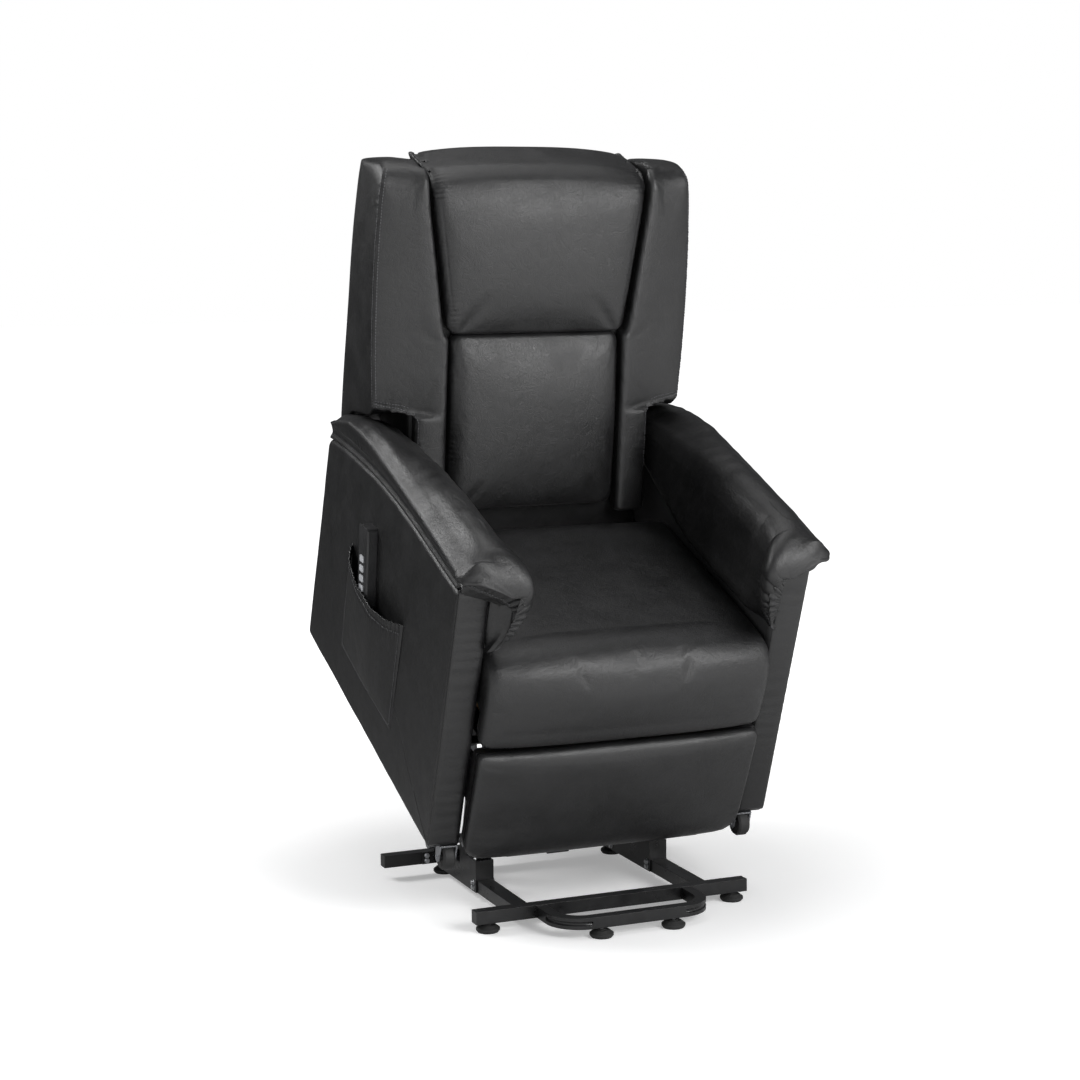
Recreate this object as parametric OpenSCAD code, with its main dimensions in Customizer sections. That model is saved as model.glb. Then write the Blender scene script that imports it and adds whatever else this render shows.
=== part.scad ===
// Lift recliner chair, standing on its lift base in the raised position.
// World frame: X to the viewer's right, front towards -Y, Z up, floor at z = 0, and y = 0 at the
// front face of the base's front tube. The chair itself is drawn level in its own frame, whose
// origin is the bottom front edge of the arms, and on_chair() lifts and tilts it.

/* [Raised position] */
// Forward tilt of the raised chair, degrees
chair_tilt = 21.9; // [15:0.1:24]
// World y of the arms' bottom front edge when raised
chair_y = 67.8; // [60:0.1:80]
// World z of the arms' bottom front edge when raised
chair_z = 157.4; // [150:0.1:175]

/* [Base frame] */
// Distance from the front tube's front face back to the origin, under the middle of the chair
mid_y = 313; // [305:0.5:322]
// Length of the front tube
front_tube_l = 570; // [540:1:640]
// Length of the rear tube
rear_tube_l = 646; // [560:1:660]
// Side of the base's square tubes
tube = 25; // [22:1:30]
// Wall of all steel tubes
tube_wall = 1.5; // [1.2:0.1:2.5]
// Height of the front tube's underside above the floor
base_h = 18; // [18:1:24]
// Height of the rear tube's underside above the floor
rear_tube_h = 26; // [24:1:27]
// World y of the rear tube's front face
rear_tube_y = 423; // [423:1:425]
// Sideways place of the rails and lift arms
rail_x = 190; // [180:1:195]
// Width of a rail
rail_w = 32; // [30:1:34]
// Outer half width of the front hoop
hoop_half = 165; // [120:1:180]
// Reach of the hoop in front of the front tube
hoop_reach = 115; // [100:1:140]
// Side of the hoop's square tube
hoop_tube = 22; // [18:1:25]
// Outer radius of the hoop's bends
hoop_r = 68; // [60:1:75]
// Depth of the groove pressed into the bends' outer wall
hoop_groove = 3; // [1:0.5:4]
// Distance of the outer front feet from the front tube's ends
foot_in = 26; // [24:1:45]
// Sideways place of the feet under the hoop
hoop_foot_x = 75; // [60:1:85]
// Largest radius of a foot
foot_r = 23; // [18:1:25]
// Radius of a foot's threaded stem
stud_r = 4; // [3:0.5:5]

/* [Lift linkage] */
// Rear lift arm's base pivot, world y
rear_pivot_y = 429; // [427:0.5:431]
// Rear lift arm's base pivot, world z
rear_pivot_z = 70.5; // [70:0.5:74]
// Front lift arm's base pivot, world y
front_pivot_y = 277; // [272:0.5:282]
// Front lift arm's base pivot, world z
front_pivot_z = 100; // [92:0.5:104]
// Rear lift arm's pivot on the chair, chair y
rear_top_y = 300; // [294:0.5:306]
// Rear lift arm's pivot on the chair, chair z
rear_top_z = 78; // [74:0.5:84]
// Front lift arm's pivot on the chair, chair y
front_top_y = 207; // [200:0.5:214]
// Front lift arm's pivot on the chair, chair z
front_top_z = 102; // [96:0.5:103]
// Width of a front lift arm's channel
arm_w = 30; // [28:0.5:30]
// Width of a rear lift arm's channel
swing_w = 14; // [12:0.5:18]
// Depth of a lift arm's channel
arm_d = 34; // [32:1:34]
// Sheet of the arms, brackets and lift rails
plate = 3; // [2.5:0.5:3]
// Radius of the lift pins
pin_r = 6; // [5:0.5:7]
// Radial clearance of running pins
pin_clear = 0.05; // [0.02:0.01:0.1]
// Radial clearance of the front arms' upper holes, which take up the linkage's float
open_clear = 3.4; // [3.2:0.1:4]
// Radius of the torque tube that joins the rear arms
torque_r = 10; // [9:0.5:11]
// Length of the crank on the torque tube
crank_l = 88.5; // [86:0.5:91]
// Direction of the crank in the raised position, degrees above +Y
crank_dir = 42.5; // [41:0.5:44]
// Motor pivot on the base, world y
motor_y = 256; // [254:0.5:257]
// Motor pivot on the base, world z
motor_z = 91; // [90:0.5:92]
// Radial clearance of the actuators' rod eyes, which take up the linkages' float
eye_clear = 4.6; // [4.6:0.1:5]

/* [Arms] */
// Width over the two arm panels
body_w = 720; // [700:1:760]
// Thickness of an arm, from outer skin to inner board
arm_t = 63.5; // [60:0.5:70]
// Length of an arm along its bottom edge
arm_l = 805; // [780:1:830]
// Height of an arm panel at its back edge
arm_back_h = 472; // [460:1:480]
// Height of an arm panel along its level front part
arm_h = 547; // [540:1:555]
// Chair y behind which the arm's top starts to fall
arm_fall_y = 260; // [240:1:290]
// Lean of the front strip over its height
strip_lean = 21; // [10:1:26]
// Thickness of the padded outer skin
skin = 12; // [10:1:14]
// Thickness of the inner board
board = 10; // [8:1:12]
// How far the pad's nose stands in front of the arm's bottom corner
pad_nose = 44; // [30:1:60]
// How far a pad stands out past its arm panel
pad_over = 26; // [18:1:32]
// How far a pad bulges in past the arm's inner face
pad_under = 32.5; // [24:0.5:34]
// Height of the pads' crown along the level part
pad_h = 646; // [635:1:660]
// Height of the pads' inner lower edge above the chair's base line
pad_low = 430; // [426:1:446]

/* [Seat] */
// Clearance between the seat and each arm
seat_gap = 1.5; // [0.5:0.5:8]
// Chair y of the seat's rear edge
seat_back_y = 503; // [490:1:508]
// Height of the seat's edge
seat_h = 414; // [405:1:420]
// Crown of the seat above its edge
seat_crown = 16; // [8:1:20]
// Height of the seat cushion's underside
seat_base = 300; // [300:1:304]
// Height of the seat's lower front edge
seat_front_low = 229; // [228:1:234]

/* [Footrest] */
// Clearance between the footrest and each arm
rest_gap = 3.5; // [1.5:0.5:8]
// Height of the footrest's top edge
rest_top = 221; // [214:1:222]
// Height of the footrest's bottom edge
rest_low = -28; // [-30:1:-10]
// Thickness of the footrest board
rest_board = 12; // [10:1:14]
// Front upper pivot on the side plates, chair y
fold_y = 78; // [76:1:80]
// Front upper pivot on the side plates, chair z
fold_z = 250; // [249:1:251]
// Length of the drive link to the crossing pin
link_a = 168.6; // [166:0.1:169]
// Length of the drive link past the crossing pin
link_b = 70; // [68:0.5:71]
// Direction of the folded drive link, degrees below +Y
fold_dir = 63.6; // [63:0.1:64]
// Length of the upper link from the crossing pin to the footrest
link_c = 160; // [158:0.5:161]
// Length of the upper link behind the crossing pin
link_e = 96; // [94:0.5:98]
// Direction of the upper link, degrees below +Y
cross_dir = 33.8; // [33:0.1:34]
// Thickness of the links
link_t = 4; // [3:0.5:4]
// Radius of the footrest pivots
rivet_r = 5; // [4:0.5:5]
// Radial clearance of the two pivots that close the footrest's loops
rivet_open = 0.3; // [0.3:0.1:0.6]

/* [Backrest] */
// Backrest hinge, chair y
hinge_y = 650; // [648:1:652]
// Backrest hinge, chair z
hinge_z = 300; // [299:1:301]
// Rearward lean of the back's front face, degrees
back_lean = 15.5; // [14:0.5:17]
// Chair y of the back's front face at the seat
back_front_y = 512; // [510:1:516]
// Height of the top of the back's wings
back_top = 1085; // [1040:1:1100]
// How far the lumbar cushion's sides stand in from the back's sides
lumbar_in = 73; // [70:1:83]
// How far the upper cushion's top corners stand in from the back's sides
upper_in = 22; // [18:1:33]
// Height of the seam between lumbar and upper cushions
back_seam = 770; // [750:1:785]
// How far the wings stand in from the arm panels
wing_in = 17; // [12:1:25]
// Height of the wings' lower front corner
wing_low = 622; // [618:1:640]
// Chair y of the wings' front seam at that corner
wing_y = 622; // [615:1:640]
// Clearance between the back's body and each arm's inner face
back_gap = 38.5; // [36.5:0.5:46]
// Lever of the back motor below the hinge
lever_l = 101; // [99:0.5:103]
// Direction of that lever, degrees below +Y
lever_dir = 46.1; // [45:0.1:47]
// Back motor's pivot, chair y
back_motor_y = 419.4; // [418:0.2:421]
// Back motor's pivot, chair z
back_motor_z = 214.4; // [213:0.2:216]

/* [Casters] */
// Radius of a transport wheel
wheel_r = 25; // [22:0.5:25]
// Width of a wheel
wheel_w = 24; // [20:1:26]
// Height of the axle below the arm's bottom
wheel_drop = 29; // [28:0.5:29]

/* [Handset] */
// Length of the handset
hand_l = 165; // [150:1:170]
// Width of the handset
hand_w = 52; // [46:1:54]
// Thickness of the handset
hand_t = 26; // [20:1:26]
// Backward lean of the handset in the pocket, degrees
hand_lean = 14; // [12:1:16]
// Chair y of the middle of the handset's top
hand_y = 472; // [468:1:476]
// Chair z of the middle of the handset's top
hand_z = 443; // [436:1:446]
// Spacing of the buttons
button_pitch = 20; // [18:1:22]

/* [Hidden] */
$fn = 48;
fit = 0.1;                       // play between fixed parts
gap = 0.3;                       // clearance between a soft part and its neighbour

steel_black = [0.07, 0.07, 0.075];
steel_grey = [0.45, 0.46, 0.48];
zinc = [0.72, 0.73, 0.75];
leather = [0.09, 0.09, 0.10];
timber = [0.72, 0.58, 0.40];
plastic = [0.05, 0.05, 0.055];
rubber = [0.04, 0.04, 0.04];

// chair frame to world frame, and back, for a point [y, z]
function to_world(p) = [chair_y + p[0] * cos(chair_tilt) - p[1] * sin(chair_tilt),
    chair_z + p[0] * sin(chair_tilt) + p[1] * cos(chair_tilt)];
function polar(p, r, a) = [p[0] + r * cos(a), p[1] + r * sin(a)];
function span(p, q) = norm([q[0] - p[0], q[1] - p[1]]);
function heading(p, q) = atan2(q[1] - p[1], q[0] - p[0]);
function mix(a, b, t) = a + (b - a) * t;

half_w = body_w / 2;
inner_x = half_w - arm_t;                       // inner face of the arms' inner boards
foot_x = front_tube_l / 2 - foot_in;
pad_out = half_w + pad_over;
pad_in = inner_x - pad_under;
seat_half = inner_x - seat_gap;
rest_half = inner_x - rest_gap;
back_inner = inner_x - back_gap;
lumbar_half = back_inner - lumbar_in;
upper_half = back_inner - upper_in;
wing_half = half_w - wing_in;
base_top = base_h + tube;
rear_base = [rear_pivot_y, rear_pivot_z];
front_base = [front_pivot_y, front_pivot_z];
rear_top = to_world([rear_top_y, rear_top_z]);
front_top = to_world([front_top_y, front_top_z]);
motor_pin = [motor_y, motor_z];
crank_pin = polar(rear_base, crank_l, crank_dir);

module on_floor() translate([0, -mid_y, 0]) children();
module on_chair() on_floor() translate([0, chair_y, chair_z]) rotate([chair_tilt, 0, 0]) children();
// a flat outline in (y, z) given a thickness along x
module slab(x0, t) translate([x0, 0, 0]) rotate([90, 0, 90]) linear_extrude(height = t) children();
// the same slab on both sides of the chair
module pair(x0, t) {
    slab(x0, t) children();
    slab(-x0 - t, t) children();
}
// a round bar along x, centred on p
module bar_x(p, r, x0, l) translate([x0, p[0], p[1]]) rotate([0, 90, 0]) cylinder(r = r, h = l);
// a frame whose z axis runs from p to q
module along(p, q) translate([0, p[0], p[1]]) rotate([heading(p, q) - 90, 0, 0]) children();
// a flat link between two points: round eyes and a bar that is a little narrower
module link_2d(p, q, w) {
    translate(p) circle(r = w / 2);
    translate(q) circle(r = w / 2);
    translate(p) rotate(heading(p, q)) translate([0, 0.3 - w / 2]) square([span(p, q), w - 0.6]);
}
module box_tube_x(l, h, wall) {
    difference() {
        cube([l, h, h], center = true);
        cube([l + 1, h - 2 * wall, h - 2 * wall], center = true);
    }
}

// ---------------------------------------------------------------- base frame
stud_holes_front = [[-foot_x, tube / 2], [foot_x, tube / 2]];
hoop_foot_y = -hoop_reach + hoop_tube / 2;
hoop_z = base_h + (tube - hoop_tube) / 2;
rear_foot_y = rear_tube_y + tube / 2;

module base_front_tube() color(steel_black) on_floor() difference() {
    translate([0, tube / 2, base_h + tube / 2]) box_tube_x(front_tube_l, tube, tube_wall);
    for (p = stud_holes_front) translate([p[0], p[1], base_h - 1])
        cylinder(r = stud_r + pin_clear, h = tube_wall + 2);
}
module base_rear_tube() color(steel_black) on_floor() difference() {
    translate([0, rear_foot_y, rear_tube_h + tube / 2]) box_tube_x(rear_tube_l, tube, tube_wall);
    for (s = [-1, 1]) translate([s * rail_x, rear_foot_y, rear_tube_h - 1])
        cylinder(r = stud_r + pin_clear, h = tube_wall + 2);
}
module base_rail(side) color(steel_black) on_floor() translate([side * rail_x, tube, base_h]) difference() {
    translate([-rail_w / 2, 0, 0]) cube([rail_w, rear_tube_y - tube, tube]);
    translate([-rail_w / 2 + tube_wall, -1, tube_wall])
        cube([rail_w - 2 * tube_wall, rear_tube_y, tube - 2 * tube_wall]);
}
// section of the hoop's tube; the bends' outer wall carries a rolled groove
module hoop_section(groove) difference() {
    square(hoop_tube);
    translate([tube_wall, tube_wall]) square([hoop_tube - 2 * tube_wall - groove,
        hoop_tube - 2 * tube_wall]);
    if (groove > 0) translate([hoop_tube + 1, hoop_tube / 2]) circle(r = groove + 1, $fn = 32);
}
module base_hoop() color(steel_black) on_floor() {
    leg = hoop_reach - hoop_r;
    straight = 2 * (hoop_half - hoop_r);
    difference() {
        translate([0, 0, hoop_z]) {
            for (s = [0, 1]) mirror([s, 0, 0]) {
                translate([hoop_half - hoop_tube, 0, 0]) rotate([90, 0, 0]) linear_extrude(leg)
                    hoop_section(0);
                translate([hoop_half - hoop_r, -leg, 0]) rotate([0, 0, -90])
                    rotate_extrude(angle = 90) translate([hoop_r - hoop_tube, 0])
                        hoop_section(hoop_groove);
            }
            translate([-straight / 2, -hoop_reach + hoop_tube, 0]) rotate([90, 0, 90])
                linear_extrude(straight) mirror([1, 0]) hoop_section(0);
        }
        for (s = [-1, 1]) translate([s * hoop_foot_x, hoop_foot_y, hoop_z - 1])
            cylinder(r = stud_r + pin_clear, h = tube_wall + 2);
    }
}

bracket_front_y = 205;
bracket_rear_y = rear_tube_y + tube;
ear_r = arm_d / 2;
channel_in = rail_w / 2;                        // half width between a bracket's plates
bracket_low_z = 72;                             // top edge between the two ears
flange_l = 38;
// side plate of a lift bracket: it laps the rail, clears the rear tube and carries two ears
module bracket_2d() difference() {
    union() {
        translate([bracket_front_y, base_h]) square([rear_tube_y - bracket_front_y, tube + 14]);
        translate([bracket_front_y, base_h])
            square([front_pivot_y - bracket_front_y, bracket_low_z + 10 - base_h]);
        translate([front_pivot_y - ear_r, base_h]) square([2 * ear_r, front_pivot_z - base_h]);
        translate(front_base) circle(r = ear_r);
        translate([rear_pivot_y - ear_r, base_top])
            square([2 * ear_r, rear_pivot_z - base_top]);
        translate(rear_base) circle(r = ear_r);
    }
    translate([rear_tube_y - fit, rear_tube_h - fit]) square([tube * 2, tube + 2 * fit]);
}
module lift_bracket(side) color(steel_black) on_floor() translate([side * rail_x, 0, 0]) {
    difference() {
        union() {
            slab(channel_in, plate) bracket_2d();
            slab(-channel_in - plate, plate) bracket_2d();
            translate([-channel_in, bracket_front_y, base_top])
                cube([rail_w, plate, bracket_low_z + 10 - base_top]);
        }
        bar_x(front_base, pin_r, -rail_w, 2 * rail_w);
        bar_x(rear_base, torque_r + pin_clear, -rail_w, 2 * rail_w);
    }
    // outer flange bolted against the rear tube
    translate([side > 0 ? channel_in : -channel_in - flange_l, rear_tube_y - plate,
        rear_tube_h]) difference() {
        cube([flange_l, plate, tube]);
        for (z = [7, 18]) translate([side > 0 ? flange_l - 10 : 10, -1, z]) rotate([-90, 0, 0])
            cylinder(r = 3.1, h = plate + 2);
    }
}

cross_y = 237;
cross_z = 98;
lug_t = 5;
eye_half = 8;                                   // half width between the motor lugs
module base_cross_tube() color(steel_black) on_floor() {
    difference() {
        bar_x([cross_y, cross_z], 10, -rail_x + channel_in + plate, 2 * (rail_x - channel_in - plate));
        bar_x([cross_y, cross_z], 10 - tube_wall, -rail_x, 2 * rail_x);
    }
    difference() {
        pair(eye_half, lug_t) difference() {
            link_2d([cross_y, cross_z], motor_pin, 22);
            translate([cross_y, cross_z]) circle(r = 10 - tube_wall);
        }
        bar_x(motor_pin, rivet_r + pin_clear, -20, 40);
    }
}

cap_t = 2;
module tube_cap(x, y, z, s) translate([x, y, z]) mirror([s < 0 ? 1 : 0, 0, 0]) {
    translate([0, -tube / 2, -tube / 2]) cube([cap_t, tube, tube]);
    translate([-12, -tube / 2 + tube_wall + fit, -tube / 2 + tube_wall + fit])
        cube([12, tube - 2 * tube_wall - 2 * fit, tube - 2 * tube_wall - 2 * fit]);
}
module tube_end_caps() color(plastic) on_floor() for (s = [-1, 1]) {
    tube_cap(s * front_tube_l / 2, tube / 2, base_h + tube / 2, s);
    tube_cap(s * rear_tube_l / 2, rear_foot_y, rear_tube_h + tube / 2, s);
}

foot_h = 14;
foot_places = [for (s = [-1, 1]) each [[s * foot_x, tube / 2, base_h],
    [s * hoop_foot_x, hoop_foot_y, hoop_z], [s * rail_x, rear_foot_y, rear_tube_h]]];
module base_feet() color(rubber) on_floor() for (p = foot_places) translate([p[0], p[1], 0]) difference() {
    rotate_extrude() union() {
        polygon([[0, 0], [foot_r - 3, 0], [foot_r, 4], [foot_r, 8], [foot_r - 8, foot_h],
            [0, foot_h]]);
        square([9, foot_h + 2]);
    }
    translate([0, 0, 5]) cylinder(r = stud_r + pin_clear, h = 40);
}
module foot_studs() color(zinc) on_floor() for (p = foot_places) translate([p[0], p[1], 5])
    cylinder(r = stud_r, h = p[2] + 5);

// hex head with its washer, on an x axis, pointing along +x
module bolt_x(r, h) {
    rotate([0, 90, 0]) cylinder(r = r * 1.25, h = 1.2);
    translate([1.2, 0, 0]) rotate([0, 90, 0]) cylinder(r = r, h = h, $fn = 6);
}
module base_bolts() color(zinc) on_floor() {
    for (s = [-1, 1]) {
        // front arm pins, flush in both bracket plates
        bar_x(front_base, pin_r, s * rail_x - channel_in - plate - 0.5, rail_w + 2 * plate + 1);
        for (e = [-1, 1]) translate([s * rail_x + e * (channel_in + plate), 0, 0])
            mirror([e < 0 ? 1 : 0, 0, 0]) {
                for (z = [27, 37]) translate([0, bracket_front_y + 12, z]) bolt_x(4.5, 4);
                for (z = [27, 37]) translate([0, rear_tube_y - 30, z]) bolt_x(4.5, 4);
            }
        for (z = [7, 18]) translate([s * (rail_x + channel_in + flange_l - 10),
            rear_tube_y - plate, rear_tube_h + z]) rotate([90, 0, 0]) {
                cylinder(r = 5.5, h = 1.2);
                translate([0, 0, 1.2]) cylinder(r = 4.5, h = 4, $fn = 6);
                translate([0, 0, -plate]) cylinder(r = 3, h = plate);
            }
    }
    bar_x(motor_pin, rivet_r, -eye_half - lug_t - 2, 2 * (eye_half + lug_t + 2));
}

// ---------------------------------------------------------------- lift arms
// channel arm from p to q: two rounded side walls and a web on its front side
module lift_arm(x, p, q, bore_p, bore_q) {
    l = span(p, q);
    translate([x, 0, 0]) along(p, q) difference() {
        union() {
            for (e = [-arm_w / 2, arm_w / 2 - plate]) slab(e, plate) link_2d([0, 0], [0, l], arm_d);
            translate([-arm_w / 2, -arm_d / 2, ear_r]) cube([arm_w, plate, l - 2 * ear_r]);
        }
        bar_x([0, 0], bore_p, -arm_w, 2 * arm_w);
        bar_x([0, l], bore_q, -arm_w, 2 * arm_w);
    }
}
rail_gap = channel_in + 1;                      // half width inside a lift rail
bush = 4;                                       // bush of the rail's outer plate
swing_x = channel_in + plate + bush + 2;        // rear arms run outside the brackets and rails
// open channel from p to q with its back towards the bracket and a boss at each pivot
module swing_arm(p, q) {
    l = span(p, q);
    along(p, q) difference() {
        union() {
            slab(swing_x, plate) link_2d([0, 0], [0, l], arm_d);
            for (y = [-ear_r, ear_r - plate]) translate([swing_x, y, ear_r])
                cube([swing_w, plate, l - 2 * ear_r]);
            for (z = [0, l]) bar_x([0, z], ear_r - 2, swing_x, swing_w);
        }
        bar_x([0, 0], torque_r, 0, rail_x);
        bar_x([0, l], pin_r, 0, rail_x);
    }
}
module rear_lift_arms() color(steel_grey) on_floor() for (s = [0, 1]) mirror([s, 0, 0])
    translate([rail_x, 0, 0]) {
        swing_arm(rear_base, rear_top);
        // upper pin, fixed in the arm, turning in the lift rail
        bar_x(rear_top, pin_r, rail_gap - 1, swing_x + swing_w - rail_gap + 1);
    }
module front_lift_arms() color(steel_grey) on_floor() for (s = [-1, 1])
    lift_arm(s * rail_x, front_base, front_top, pin_r + pin_clear, pin_r + open_clear);
module lift_torque_tube() color(steel_grey) on_floor() difference() {
    bar_x(rear_base, torque_r, -rail_x - swing_x - swing_w, 2 * (rail_x + swing_x + swing_w));
    bar_x(rear_base, torque_r - 3, -rail_x * 2, rail_x * 4);
}
module lift_crank() color(steel_grey) on_floor() {
    difference() {
        pair(eye_half, lug_t) difference() {
            link_2d(rear_base, crank_pin, 28);
            translate(rear_base) circle(r = torque_r);
        }
        bar_x(crank_pin, rivet_r, -20, 40);
    }
    bar_x(crank_pin, rivet_r, -eye_half - lug_t - 2, 2 * (eye_half + lug_t + 2));
}

// ---------------------------------------------------------------- actuators
eye_r = 9;                                      // eye at the motor's fixed end
gear_z = 19;                                    // start of the gearbox along the actuator
// drawn along +z from the motor's pivot, in its own frame
module actuator_body(l, gear_h) difference() {
    union() {
        rotate([0, 90, 0]) cylinder(r = eye_r, h = 2 * eye_half - 2, center = true);
        translate([-eye_half + 1, -eye_r, 0]) cube([2 * eye_half - 2, 2 * eye_r, gear_z]);
        // gearbox, the motor beside the screw and the screw's tube
        translate([-24, -18, gear_z]) cube([48, 54, 34]);
        translate([0, 15, gear_z + 20]) cylinder(r = 20, h = gear_h);
        translate([0, 0, gear_z + 30]) cylinder(r = 15, h = 10);
        translate([0, 0, gear_z]) cylinder(r = 12, h = l - gear_z);
    }
    rotate([0, 90, 0]) cylinder(r = rivet_r + pin_clear, h = 60, center = true);
    translate([0, 0, gear_z + 38]) cylinder(r = 8.4, h = l);
    // socket for the lead
    translate([-25, 24, gear_z + 12]) rotate([0, 90, 0]) cylinder(r = 4, h = 10);
}
module actuator_rod(l, reach) difference() {
    union() {
        translate([0, 0, l - reach]) cylinder(r = 8, h = reach - 10);
        translate([-eye_half + 1, -13, l - 13]) cube([2 * eye_half - 2, 26, 13]);
        translate([0, 0, l]) rotate([0, 90, 0]) cylinder(r = 13, h = 2 * eye_half - 2, center = true);
    }
    translate([0, 0, l]) rotate([0, 90, 0])
        cylinder(r = rivet_r + eye_clear, h = 60, center = true);
}
lift_span = span(motor_pin, crank_pin);
module lift_motor() color(plastic) on_floor() along(motor_pin, crank_pin) actuator_body(150, 78);
module lift_motor_rod() color(steel_grey) on_floor() along(motor_pin, crank_pin)
    actuator_rod(lift_span, lift_span - 122);

back_pin = [back_motor_y, back_motor_z];
lever_pin = polar([hinge_y, hinge_z], lever_l, -lever_dir);
back_span = span(back_pin, lever_pin);
module back_motor() color(plastic) on_chair() along(back_pin, lever_pin) mirror([0, 1, 0])
    actuator_body(196, 96);
module back_motor_rod() color(steel_grey) on_chair() along(back_pin, lever_pin)
    actuator_rod(back_span, back_span - 150);

// ---------------------------------------------------------------- chair frame
rail_top_z = 127;
rail_y0 = front_top_y - 22;
rail_y1 = 452;
module lift_rail(side) color(steel_black) on_chair() translate([side * rail_x, 0, 0]) difference() {
    union() {
        for (x = [-rail_gap - plate, rail_gap]) slab(x, plate) {
            translate([rail_y0, front_top_z + 2]) square([rail_y1 - rail_y0,
                rail_top_z - front_top_z - 2]);
            for (p = [[rear_top_y, rear_top_z], [front_top_y, front_top_z]]) {
                translate(p) circle(r = ear_r);
                translate([p[0] - ear_r, p[1]]) square([2 * ear_r, rail_top_z - p[1]]);
            }
        }
        translate([-rail_gap, rail_y0, rail_top_z - plate])
            cube([2 * rail_gap, rail_y1 - rail_y0, plate]);
        // bush round the rear arm's pin
        translate([side > 0 ? 0 : -2 * rail_gap - 2 * plate - bush, 0, 0])
            bar_x([rear_top_y, rear_top_z], 2 * pin_r, rail_gap + plate, bush);
        // pin that the front arm's oversize hole hangs on
        bar_x([front_top_y, front_top_z], pin_r, -rail_gap - plate - 1, 2 * (rail_gap + plate + 1));
    }
    bar_x([rear_top_y, rear_top_z], pin_r + pin_clear, -rail_w * 2, rail_w * 4);
}

fold = [fold_y, fold_z];
cross_pin = polar(fold, link_a, -fold_dir);
drive_end = polar(fold, link_a + link_b, -fold_dir);
upper_end = polar(cross_pin, link_c, 180 - cross_dir);
lower_end = polar(drive_end, link_c, 180 - cross_dir);
upper_tail = polar(cross_pin, link_e, -cross_dir);
rear_fold = polar(upper_tail, link_a, 180 - fold_dir);
side_x = inner_x - plate;                       // inner face of the side plates
seat_rail_z = 268;
cross_ys = [262, 425, 590];

module side_plate_2d() difference() {
    union() {
        polygon([[fold_y - 20, fold_z - 22], [fold_y - 20, seat_rail_z], [560, seat_rail_z],
            [hinge_y - 22, hinge_z + 20], [hinge_y + 22, hinge_z + 10], [hinge_y + 24, hinge_z - 20],
            [640, 120], [rear_fold[0] + 75, 120], [rear_fold[0] - 10, rear_fold[1] - 24]]);
        translate([hinge_y, hinge_z]) circle(r = 24);
    }
    // lightening holes
    for (y = [345, 510]) translate([y, 200]) circle(r = 30);
}
module side_plate(side) color(steel_black) on_chair() mirror([side < 0 ? 1 : 0, 0, 0]) {
    slab(side_x, plate) side_plate_2d();
    // flange under the seat frame
    translate([262, 100, seat_rail_z - plate]) cube([side_x - 262, 380, plate]);
    // shoulder pins of the footrest links and of the back
    for (p = [fold, rear_fold]) {
        bar_x(p, rivet_r, side_x - 14, 14 + plate / 2);
        bar_x(p, rivet_r + 3, side_x - 17, 3);
    }
    bar_x([hinge_y, hinge_z], pin_r, side_x - 16, 16 + plate / 2);
    bar_x([hinge_y, hinge_z], pin_r + 4, side_x - 19, 3);
}
module cross_tubes() color(steel_black) on_chair() {
    for (y = cross_ys) translate([0, y + tube / 2, rail_top_z + tube / 2])
        box_tube_x(2 * side_x, tube, tube_wall);
    // lugs that hold the back motor
    difference() {
        pair(eye_half, lug_t) difference() {
            union() {
                translate(back_pin) circle(r = 12);
                translate([back_pin[0] - 12, rail_top_z + tube]) square([24,
                    back_pin[1] - rail_top_z - tube]);
            }
        }
        bar_x(back_pin, rivet_r + pin_clear, -20, 40);
    }
}

frame_half = seat_half - 25;
frame_y0 = 16;
frame_y1 = 492;
frame_rail = 22;
frame_h = seat_base - seat_rail_z;
module seat_frame() color(timber) on_chair() difference() {
    translate([-frame_half, frame_y0, seat_rail_z]) cube([2 * frame_half, frame_y1 - frame_y0,
        frame_h]);
    translate([-frame_half + frame_rail, frame_y0 + frame_rail, seat_rail_z - 1])
        cube([2 * (frame_half - frame_rail), frame_y1 - frame_y0 - 2 * frame_rail, frame_h + 2]);
}

// a tube of radius r with n sides along points in the plane z = z0
function wire_ring(p, d, r, n, z0) = [for (k = [0:n - 1])
    [p[0] - d[1] * r * cos(k * 360 / n), p[1] + d[0] * r * cos(k * 360 / n),
        z0 + r * sin(k * 360 / n)]];
function unit(v) = v / norm(v);
function tube_faces(m, n) = concat(
    [[for (k = [0:n - 1]) n - 1 - k]],
    [for (i = [0:m - 2]) for (k = [0:n - 1]) each [
        [i * n + k, i * n + (k + 1) % n, (i + 1) * n + (k + 1) % n],
        [i * n + k, (i + 1) * n + (k + 1) % n, (i + 1) * n + k]]],
    [[for (k = [0:n - 1]) (m - 1) * n + k]]);
module wire(path, r, n, z0) {
    m = len(path);
    pts = [for (i = [0:m - 1]) each wire_ring(path[i],
        unit(path[min(i + 1, m - 1)] - path[max(i - 1, 0)]), r, n, z0)];
    polyhedron(points = pts, faces = tube_faces(m, n), convexity = 6);
}
spring_n = 5;
spring_amp = 22;
spring_waves = 8;
spring_side = 26;                               // room between the outer springs and the frame's rails
spring_half = frame_half - frame_rail - spring_amp - spring_side;
spring_z = seat_base - 6;
module seat_springs() color(steel_grey) on_chair() for (i = [0:spring_n - 1]) {
    x = mix(-spring_half, spring_half, i / (spring_n - 1));
    y0 = frame_y0 + frame_rail + 1;
    l = frame_y1 - frame_y0 - 2 * frame_rail - 2;
    wire([for (k = [0:spring_waves * 6]) [x + spring_amp * sin(k * 60) * min(1, k / 3,
        (spring_waves * 6 - k) / 3), y0 + l * k / (spring_waves * 6)]], 1.9, 6, spring_z);
}

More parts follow.
